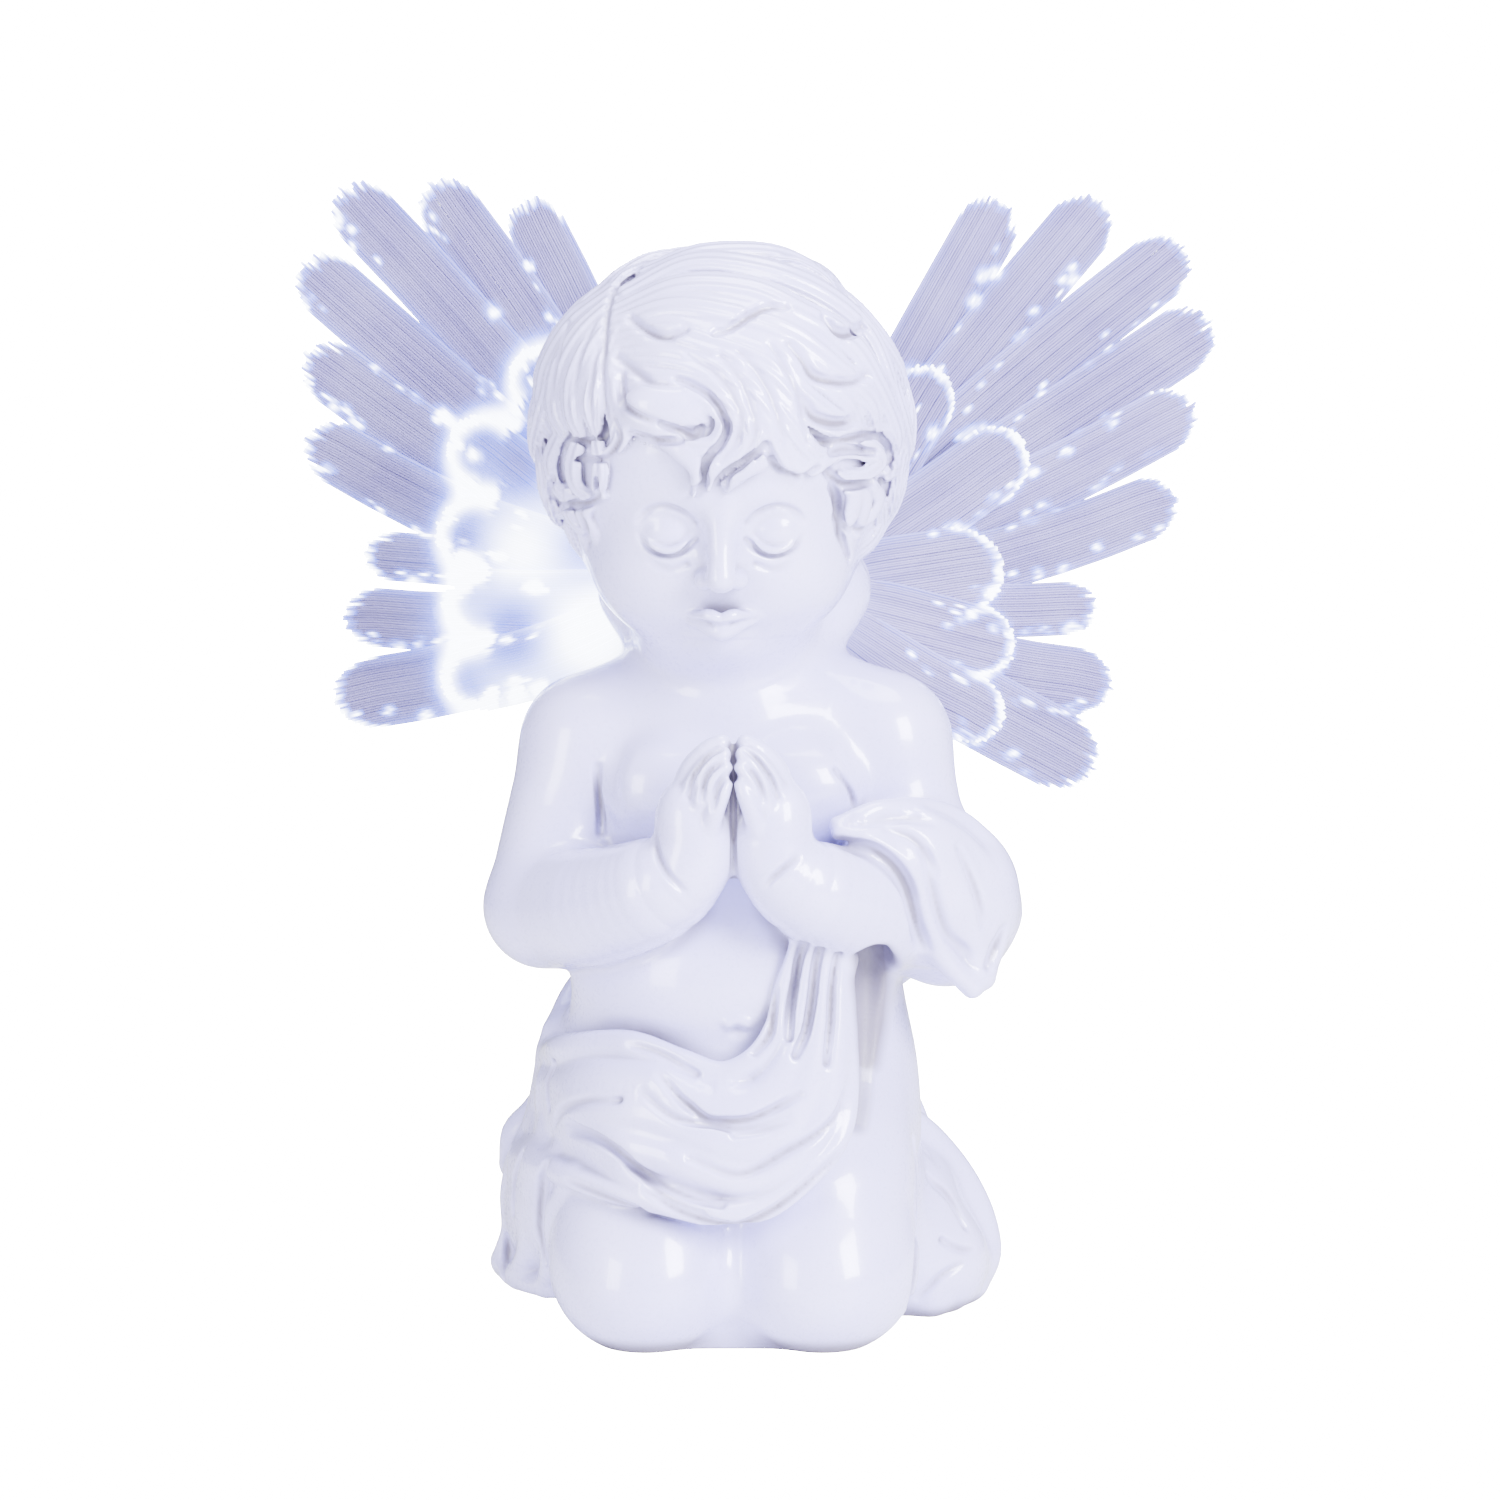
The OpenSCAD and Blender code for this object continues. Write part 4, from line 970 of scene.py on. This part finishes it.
def rgb(r, g, b):
    return (r, g, b, 1.0)


def shared(name, inputs, outputs, build):
    """A node group with named sockets, made once."""
    if name in bpy.data.node_groups:
        return bpy.data.node_groups[name]
    tree = bpy.data.node_groups.new(name, "ShaderNodeTree")
    for label in inputs:
        tree.interface.new_socket(name=label, in_out="INPUT", socket_type="NodeSocketFloat")
    for label in outputs:
        tree.interface.new_socket(name=label, in_out="OUTPUT", socket_type="NodeSocketFloat")
    enter, leave = tree.nodes.new("NodeGroupInput"), tree.nodes.new("NodeGroupOutput")
    for label, v in build(Graph(tree), enter.outputs).items():
        tree.links.new(v, leave.inputs[label])
    return tree


def build_wear_and_hollow_shade(g, i):
    point = g.add("NewGeometry", out="Pointiness")
    place = g.add("TexCoord", out="Object")
    noise = g.add("TexNoise", inputs={"Vector": place, "Scale": 900.0, "Detail": 3.0})
    edge = g.fade(g.math("ADD", point, g.math("MULTIPLY", g.math("SUBTRACT", noise, 0.5), 0.06)), 0.52, 0.6)
    # A mask of the hollows, used to paint shade into them
    hollow_shade = g.fade(point, 0.49, 0.42)
    return {"Edge": g.math("MULTIPLY", edge, i["Edge"]), "Hollow": g.math("MULTIPLY", hollow_shade, i["Hollow"])}


def build_grain(g, i):
    place = g.add("TexCoord", out="Object")
    fine = g.add("TexNoise", inputs={"Vector": place, "Scale": i["Scale"], "Detail": 5.0, "Roughness": 0.6})
    broad = g.add("TexNoise", inputs={"Vector": place, "Scale": i["Cloud"], "Detail": 2.0})
    return {"Fine": fine, "Cloud": broad}


def build_dust(g, i):
    up = g.add("SeparateXYZ", out="Z", inputs={0: g.add("NewGeometry", out="Normal")})
    place = g.add("TexCoord", out="Object")
    specks = g.add("TexVoronoi", inputs={"Vector": place, "Scale": 420.0, "Randomness": 1.0})
    cloud = g.add("TexNoise", inputs={"Vector": place, "Scale": 60.0, "Detail": 4.0})
    lie = g.math("MULTIPLY", g.fade(up, 0.2, 0.95), g.fade(cloud, 0.35, 0.7))
    return {"Film": g.math("MULTIPLY", lie, i["Amount"]),
            "Specks": g.math("MULTIPLY", g.fade(specks, 0.12, 0.04), i["Amount"])}


GROUPS = {"edge_wear": (("Edge", "Hollow"), ("Edge", "Hollow"), build_wear_and_hollow_shade),
          "surface_grain": (("Scale", "Cloud"), ("Fine", "Cloud"), build_grain),
          "settled_dust": (("Amount",), ("Film", "Specks"), build_dust)}


def effect(g, name, *values):
    """Places a shared group with its own values, and gives its outputs."""
    inputs, outputs, build = GROUPS[name]
    n = g.tree.nodes.new("ShaderNodeGroup")
    n.node_tree = shared(name, inputs, outputs, build)
    for label, value in zip(inputs, values):
        n.inputs[label].default_value = value
    return [n.outputs[label] for label in outputs]


def wear_and_hollow_shade(g, edge, hollow_shade):
    return effect(g, "edge_wear", edge, hollow_shade)


def grain(g, scale, cloud):
    return effect(g, "surface_grain", scale, cloud)


def dust(g, amount):
    return effect(g, "settled_dust", amount)


def bump(g, height, distance, strength):
    return g.add("Bump", inputs={"Height": height, "Distance": distance, "Strength": strength})


def painted_resin(g, b):
    edge, hollow_shade = wear_and_hollow_shade(g, 0.5, 1.0)
    fine, cloud = grain(g, 700.0, 38.0)
    film, specks = dust(g, 0.25)
    # Painted shade: occlusion, the hollows and the creases' painted shade are gathered in deep
    ao = g.add("AmbientOcclusion", out="AO", inputs={"Distance": 0.006}, samples=6)
    groove = g.add("Attribute", out="Fac", attribute_name="groove")
    deep = g.math("MAXIMUM", g.math("MAXIMUM", hollow_shade, g.fade(ao, 0.82, 0.3)),
                  g.math("MULTIPLY", groove, 1.25))
    colour = g.mix(g.fade(cloud, 0.3, 0.7), rgb(0.54, 0.515, 0.96), rgb(0.6, 0.575, 0.985))
    # Painted shade: the base colour darkens to a deep lilac grey where deep is high
    colour = g.mix(g.math("MULTIPLY", g.math("MINIMUM", deep, 1.0), 0.92), colour, rgb(0.15, 0.13, 0.19))
    colour = g.mix(g.math("MULTIPLY", edge, 0.5), colour, rgb(0.76, 0.75, 0.98))
    colour = g.mix(g.math("MULTIPLY", specks, 0.5), colour, rgb(0.45, 0.44, 0.42))
    g.put(b["Base Color"], colour)
    duller = g.math("ADD", g.math("MULTIPLY", film, 0.25), g.math("MULTIPLY", deep, 0.2))
    g.put(b["Roughness"], g.math("ADD", g.fade(fine, 0.3, 0.7, 0.24, 0.34), duller))
    height = g.math("ADD", g.math("MULTIPLY", fine, 0.35), cloud)
    g.put(b["Normal"], bump(g, height, 0.0006, 0.35))
    g.put(b["Coat Weight"], g.fade(deep, 0.0, 0.8, 0.8, 0.05))
    b["Coat Roughness"].default_value = 0.09


def fibre(g, b):
    glow = g.add("Attribute", out="Fac", attribute_name="glow")
    stack = g.add("Attribute", out="Fac", attribute_name="stack")
    strand = g.add("Attribute", out="Fac", attribute_name="strand")
    fine, cloud = grain(g, 1500.0, 60.0)
    tint = g.mix(g.fade(strand, 0.0, 1.0), rgb(0.135, 0.115, 0.3), rgb(0.195, 0.168, 0.4))
    # Painted light where feathers overlap, for the light through the stacked layers
    tint = g.mix(g.math("MULTIPLY", stack, 0.5), tint, rgb(0.36, 0.32, 0.6))
    tint = g.mix(g.math("MULTIPLY", g.fade(cloud, 0.4, 0.65), 0.25), tint, rgb(0.3, 0.28, 0.5))
    g.put(b["Base Color"], tint)
    g.put(b["Roughness"], g.fade(fine, 0.3, 0.7, 0.34, 0.52))
    b["Specular IOR Level"].default_value = 0.25
    halo = g.mix(g.fade(glow, 0.2, 0.85), rgb(0.06, 0.16, 1.0), rgb(0.85, 0.92, 1.0))
    g.put(b["Emission Color"], g.mix(g.fade(glow, 0.0, 1.0), rgb(0, 0, 0), halo))
    b["Emission Strength"].default_value = 11.0


def white_plastic(g, b):
    edge, hollow_shade = wear_and_hollow_shade(g, 0.5, 0.6)
    fine, cloud = grain(g, 2600.0, 50.0)
    film, specks = dust(g, 0.4)
    colour = g.mix(g.fade(cloud, 0.3, 0.7), rgb(0.66, 0.66, 0.68), rgb(0.72, 0.72, 0.73))
    # Painted shade in the hollows
    colour = g.mix(hollow_shade, colour, rgb(0.3, 0.3, 0.32))
    colour = g.mix(g.math("MULTIPLY", edge, 0.5), colour, rgb(0.82, 0.82, 0.83))
    colour = g.mix(g.math("MULTIPLY", specks, 0.4), colour, rgb(0.4, 0.38, 0.36))
    g.put(b["Base Color"], colour)
    g.put(b["Roughness"], g.math("ADD", g.fade(fine, 0.3, 0.7, 0.34, 0.46), g.math("MULTIPLY", film, 0.2)))
    g.put(b["Normal"], bump(g, fine, 0.00015, 0.4))


def black_plastic(g, b):
    edge, hollow_shade = wear_and_hollow_shade(g, 0.8, 0.5)
    fine, cloud = grain(g, 2400.0, 80.0)
    colour = g.mix(edge, rgb(0.02, 0.02, 0.022), rgb(0.12, 0.12, 0.125))
    g.put(b["Base Color"], g.mix(g.fade(cloud, 0.4, 0.8, 0, 0.3), colour, rgb(0.05, 0.05, 0.05)))
    g.put(b["Roughness"], g.fade(fine, 0.3, 0.7, 0.38, 0.55))
    g.put(b["Normal"], bump(g, fine, 0.0002, 0.5))


def clear_acrylic(g, b):
    fine, cloud = grain(g, 1200.0, 40.0)
    film, specks = dust(g, 0.5)
    g.put(b["Base Color"], g.mix(g.fade(cloud, 0.3, 0.7), rgb(0.86, 0.93, 1.0), rgb(0.95, 0.98, 1.0)))
    g.put(b["Roughness"], g.math("ADD", g.fade(fine, 0.3, 0.7, 0.03, 0.09), g.math("MULTIPLY", film, 0.25)))
    g.put(b["Normal"], bump(g, cloud, 0.0002, 0.15))
    b["Transmission Weight"].default_value = 1.0
    b["IOR"].default_value = 1.49


def lit_core(g, b):
    fine, cloud = grain(g, 1500.0, 220.0)
    g.put(b["Base Color"], g.mix(g.fade(cloud, 0.3, 0.7), rgb(0.75, 0.86, 1.0), rgb(0.92, 0.97, 1.0)))
    g.put(b["Roughness"], g.fade(fine, 0.3, 0.7, 0.08, 0.2))
    g.put(b["Emission Color"], g.mix(g.fade(cloud, 0.3, 0.7), rgb(0.35, 0.55, 1.0), rgb(0.8, 0.9, 1.0)))
    b["Emission Strength"].default_value = 3.0


def lamp_epoxy(g, b):
    lit_core(g, b)
    b["Emission Strength"].default_value = 12.0


def felt(g, b):
    place = g.add("TexCoord", out="Object")
    curl = g.add("TexNoise", inputs={"Vector": place, "Scale": 1800.0, "Detail": 6.0, "Roughness": 0.75,
                                     "Distortion": 1.6})
    fine, cloud = grain(g, 700.0, 90.0)
    colour = g.mix(g.fade(curl, 0.35, 0.7), rgb(0.018, 0.02, 0.024), rgb(0.075, 0.08, 0.09))
    g.put(b["Base Color"], g.mix(g.fade(cloud, 0.4, 0.75, 0, 0.35), colour, rgb(0.1, 0.1, 0.105)))
    b["Roughness"].default_value = 0.95
    b["Sheen Weight"].default_value = 0.4
    g.put(b["Normal"], bump(g, curl, 0.0008, 0.9))


def base_board(g, b):
    edge, hollow_shade = wear_and_hollow_shade(g, 0.6, 0.6)
    place = g.add("TexCoord", out="Object")
    drawn_out = g.add("Mapping", inputs={"Vector": place, "Scale": (1, 14, 1)})
    long_grain = g.add("TexNoise", inputs={"Vector": drawn_out, "Scale": 120.0, "Detail": 6.0})
    colour = g.mix(g.fade(long_grain, 0.35, 0.65), rgb(0.56, 0.55, 0.55), rgb(0.68, 0.67, 0.66))
    g.put(b["Base Color"], g.mix(g.math("MULTIPLY", edge, 0.5), colour, rgb(0.45, 0.42, 0.38)))
    g.put(b["Roughness"], g.fade(long_grain, 0.3, 0.7, 0.55, 0.75))
    g.put(b["Normal"], bump(g, long_grain, 0.0003, 0.5))


def foam(g, b):
    place = g.add("TexCoord", out="Object")
    cells = g.add("TexVoronoi", inputs={"Vector": place, "Scale": 2600.0})
    fine, cloud = grain(g, 900.0, 90.0)
    g.put(b["Base Color"], g.mix(g.fade(cells, 0.1, 0.6), rgb(0.008, 0.008, 0.009), rgb(0.05, 0.05, 0.052)))
    g.put(b["Roughness"], g.fade(fine, 0.3, 0.7, 0.8, 0.95))
    g.put(b["Normal"], bump(g, cells, 0.0004, 0.9))


FINGER_PITCH, WAFER_PITCH = 0.0016, 0.0124


def repeat(g, along, pitch, shift=0.0):
    """Place within each repeat, from -0.5 to 0.5."""
    turns = g.math("ADD", g.math("MULTIPLY", along, 1 / pitch), shift)
    return g.math("SUBTRACT", g.math("FRACT", turns), 0.5)


def solar_cell(g, b):
    # Silicon wafers with fine silver fingers and two wide bus bars a row, in the tilted panel's own frame
    place = g.add("TexCoord", out="Object")
    x = g.add("SeparateXYZ", out="X", inputs={0: place})
    z = g.add("SeparateXYZ", out="Z", inputs={0: place})
    rise = g.math("MULTIPLY", g.math("SUBTRACT", z, float(MODULE_AT[2]) * MM),
                  1 / math.cos(math.radians(PANEL_TILT)))
    rise = g.math("SUBTRACT", rise, CELL_ABOVE_MIDDLE * MM)
    finger = g.fade(g.math("ABSOLUTE", repeat(g, x, FINGER_PITCH)), 0.47, 0.5)
    bus = g.fade(g.math("ABSOLUTE", repeat(g, rise, WAFER_PITCH)), 0.44, 0.47)
    split = g.fade(g.math("ABSOLUTE", repeat(g, x, WAFER_PITCH, 0.5)), 0.475, 0.49)
    crystal = g.add("TexVoronoi", out="Color", inputs={"Vector": place, "Scale": 260.0})
    shade = g.add("SeparateColor", out=0, inputs={0: crystal})
    colour = g.mix(shade, rgb(0.008, 0.014, 0.06), rgb(0.02, 0.035, 0.13))
    colour = g.mix(g.math("MULTIPLY", finger, 0.55), colour, rgb(0.35, 0.36, 0.38))
    colour = g.mix(split, colour, rgb(0.6, 0.6, 0.6))
    colour = g.mix(g.math("MULTIPLY", bus, 0.9), colour, rgb(0.55, 0.56, 0.58))
    g.put(b["Base Color"], colour)
    g.put(b["Metallic"], g.math("MULTIPLY", bus, 0.8))
    g.put(b["Roughness"], g.fade(shade, 0, 1, 0.12, 0.25))
    b["Coat Weight"].default_value = 0.8


BAND_LONG, RIM_LONG, FOOT_LONG = 0.0125, 0.0022, 0.0009


def battery_sleeve(g, b):
    # Sleeve with a plain band at one end, bare metal at both ends
    low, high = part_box("battery_cell")
    x = g.add("SeparateXYZ", out="X", inputs={0: g.add("TexCoord", out="Object")})
    fine, cloud = grain(g, 1600.0, 90.0)
    edge = 0.1 * MM
    band = g.fade(x, high[0] - BAND_LONG, high[0] - BAND_LONG + 2 * edge)
    metal = g.math("MAXIMUM", g.fade(x, high[0] - RIM_LONG, high[0] - RIM_LONG + edge),
                   g.fade(x, low[0] + FOOT_LONG, low[0] + FOOT_LONG - edge))
    colour = g.mix(g.fade(cloud, 0.3, 0.7), rgb(0.02, 0.22, 0.07), rgb(0.03, 0.3, 0.1))
    colour = g.mix(band, colour, rgb(0.6, 0.6, 0.58))
    g.put(b["Base Color"], g.mix(metal, colour, rgb(0.6, 0.6, 0.6)))
    g.put(b["Metallic"], metal)
    g.put(b["Roughness"], g.fade(fine, 0.3, 0.7, 0.2, 0.34))


def plated_steel(g, b):
    edge, hollow_shade = wear_and_hollow_shade(g, 0.6, 0.7)
    fine, cloud = grain(g, 3000.0, 150.0)
    # Painted shade in the hollows, in a dark brown
    colour = g.mix(hollow_shade, rgb(0.62, 0.61, 0.58), rgb(0.16, 0.13, 0.1))
    g.put(b["Base Color"], g.mix(edge, colour, rgb(0.85, 0.84, 0.82)))
    b["Metallic"].default_value = 1.0
    g.put(b["Roughness"], g.fade(cloud, 0.3, 0.7, 0.2, 0.38))
    g.put(b["Normal"], bump(g, fine, 0.0001, 0.4))


def switch_metal(g, b):
    fine, cloud = grain(g, 1900.0, 200.0)
    g.put(b["Base Color"], g.mix(g.fade(cloud, 0.3, 0.7), rgb(0.5, 0.5, 0.5), rgb(0.64, 0.63, 0.62)))
    b["Metallic"].default_value = 1.0
    g.put(b["Roughness"], g.fade(fine, 0.3, 0.7, 0.3, 0.5))


def circuit_board(g, b):
    # Solder mask over routed copper, with tinned pads
    place = g.add("TexCoord", out="Object")
    tracks = g.add("TexBrick", inputs={"Vector": place, "Scale": 260.0, "Mortar Size": 0.03,
                                       "Color1": rgb(0, 0, 0),
                                       "Color2": rgb(0.2, 0.2, 0.2), "Mortar": rgb(1, 1, 1)})
    pads = g.fade(g.add("TexVoronoi", inputs={"Vector": place, "Scale": 330.0, "Randomness": 0.4}), 0.24,
                  0.2)
    colour = g.mix(g.math("MULTIPLY", tracks, 0.5), rgb(0.008, 0.1, 0.03), rgb(0.03, 0.26, 0.08))
    g.put(b["Base Color"], g.mix(pads, colour, rgb(0.55, 0.52, 0.44)))
    g.put(b["Metallic"], pads)
    g.put(b["Roughness"], g.fade(pads, 0, 1, 0.3, 0.25))


def lead_cover(g, b):
    fine, cloud = grain(g, 1400.0, 120.0)
    g.put(b["Base Color"], g.mix(g.fade(cloud, 0.3, 0.7), rgb(0.4, 0.012, 0.012), rgb(0.55, 0.03, 0.025)))
    g.put(b["Roughness"], g.fade(fine, 0.3, 0.7, 0.35, 0.5))


RECIPES = {"resin": painted_resin, "optical_fibre": fibre, "white_plastic": white_plastic,
           "black_plastic": black_plastic, "clear_acrylic": clear_acrylic, "lamp_epoxy": lamp_epoxy,
           "felt": felt,
           "base_board": base_board, "foam": foam, "solar_cell": solar_cell,
           "battery_sleeve": battery_sleeve,
           "plated_steel": plated_steel, "switch_metal": switch_metal, "circuit_board": circuit_board,
           "lead_cover": lead_cover, "lit_core": lit_core}


MADE = {}


def finish(name):
    """The material of that name, made on its first use."""
    if name not in MADE:
        m = MADE[name] = bpy.data.materials.new(RECIPES[name].__name__)
        m.use_nodes = True
        RECIPES[name](Graph(m.node_tree), m.node_tree.nodes["Principled BSDF"].inputs)
    return MADE[name]


def dress_nodes():
    slots = {p["node"]: p["material_slot"] for p in frame["record"]["subparts"]}
    for node, o in frame["nodes"].items():
        name = "lit_core" if "light_core" in node else slots[node]
        for slot in o.material_slots:
            slot.material = finish(name)


cherub = cast_body()
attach(cherub, "figurine")
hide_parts("figurine_casting")
cherub.data.materials.append(finish("resin"))
for (hub, turn), (side, s) in zip(HUBS, (("left", 1), ("right", -1))):
    wing(side, s, hub, turn)
dress_nodes()


# ---------------------------------------------------------------- camera, light, floor
EYE, AIM, LENS, SENSOR = (0.004, -1.1, 0.25), (0.004, 0, 0.14577), 105.6, 36
# The sky's strength on the figure, and the strength of the backdrop and floor that the camera sees
SKY, BACKDROP = 0.43, 40.0
LIT_AT, LAMP_COLOUR = (0, 0, 0.13), (0.93, 0.92, 1.0)
# Name, place, width and height, watts
LAMPS = (("key", (0.75, -0.9, 0.7), (0.45, 0.7), 82),
         ("fill", (-0.75, -0.85, 0.32), (0.35, 0.7), 21),
         ("top", (0.1, -0.15, 1.2), (0.7, 0.5), 25))
FLOOR_HALF = 3


def aimed(name, data, place, target):
    """Puts a camera or lamp at a place, facing a target."""
    o = bpy.data.objects.new(name, data)
    o.location = place
    o.rotation_euler = (Vector(target) - o.location).to_track_quat("-Z", "Y").to_euler()
    bpy.context.scene.collection.objects.link(o)
    return o


def stage():
    cam = bpy.data.cameras.new("camera")
    cam.lens, cam.sensor_width = LENS, SENSOR
    bpy.context.scene.camera = aimed("camera", cam, EYE, AIM)
    world = bpy.data.worlds.new("studio")
    world.use_nodes = True
    g = Graph(world.node_tree)
    glow = world.node_tree.nodes["Background"].inputs
    glow[0].default_value = (0.95, 0.95, 1, 1)
    g.put(glow[1], g.fade(g.add("LightPath", out="Is Camera Ray"), 0, 1, SKY, BACKDROP))
    bpy.context.scene.world = world
    for name, place, size, power in LAMPS:
        lamp = bpy.data.lights.new(name, "AREA")
        lamp.shape = "RECTANGLE"
        lamp.size, lamp.size_y, lamp.energy = *size, power
        lamp.color = LAMP_COLOUR
        aimed(name, lamp, place, LIT_AT)
    mesh = bpy.data.meshes.new("floor")
    corners = [(x * FLOOR_HALF, y * FLOOR_HALF, 0) for x, y in ((-1, -1), (1, -1), (1, 1), (-1, 1))]
    mesh.from_pydata(corners, [], [(0, 1, 2, 3)])
    floor = bpy.data.objects.new("floor", mesh)
    bpy.context.scene.collection.objects.link(floor)
    m = bpy.data.materials.new("floor")
    m.use_nodes = True
    shader = m.node_tree.nodes["Principled BSDF"].inputs
    shader["Base Color"].default_value = (0.9, 0.9, 0.9, 1)
    g = Graph(m.node_tree)
    g.put(shader["Emission Strength"], g.fade(g.add("LightPath", out="Is Camera Ray"), 0, 1, 0, BACKDROP))
    mesh.materials.append(m)


stage()
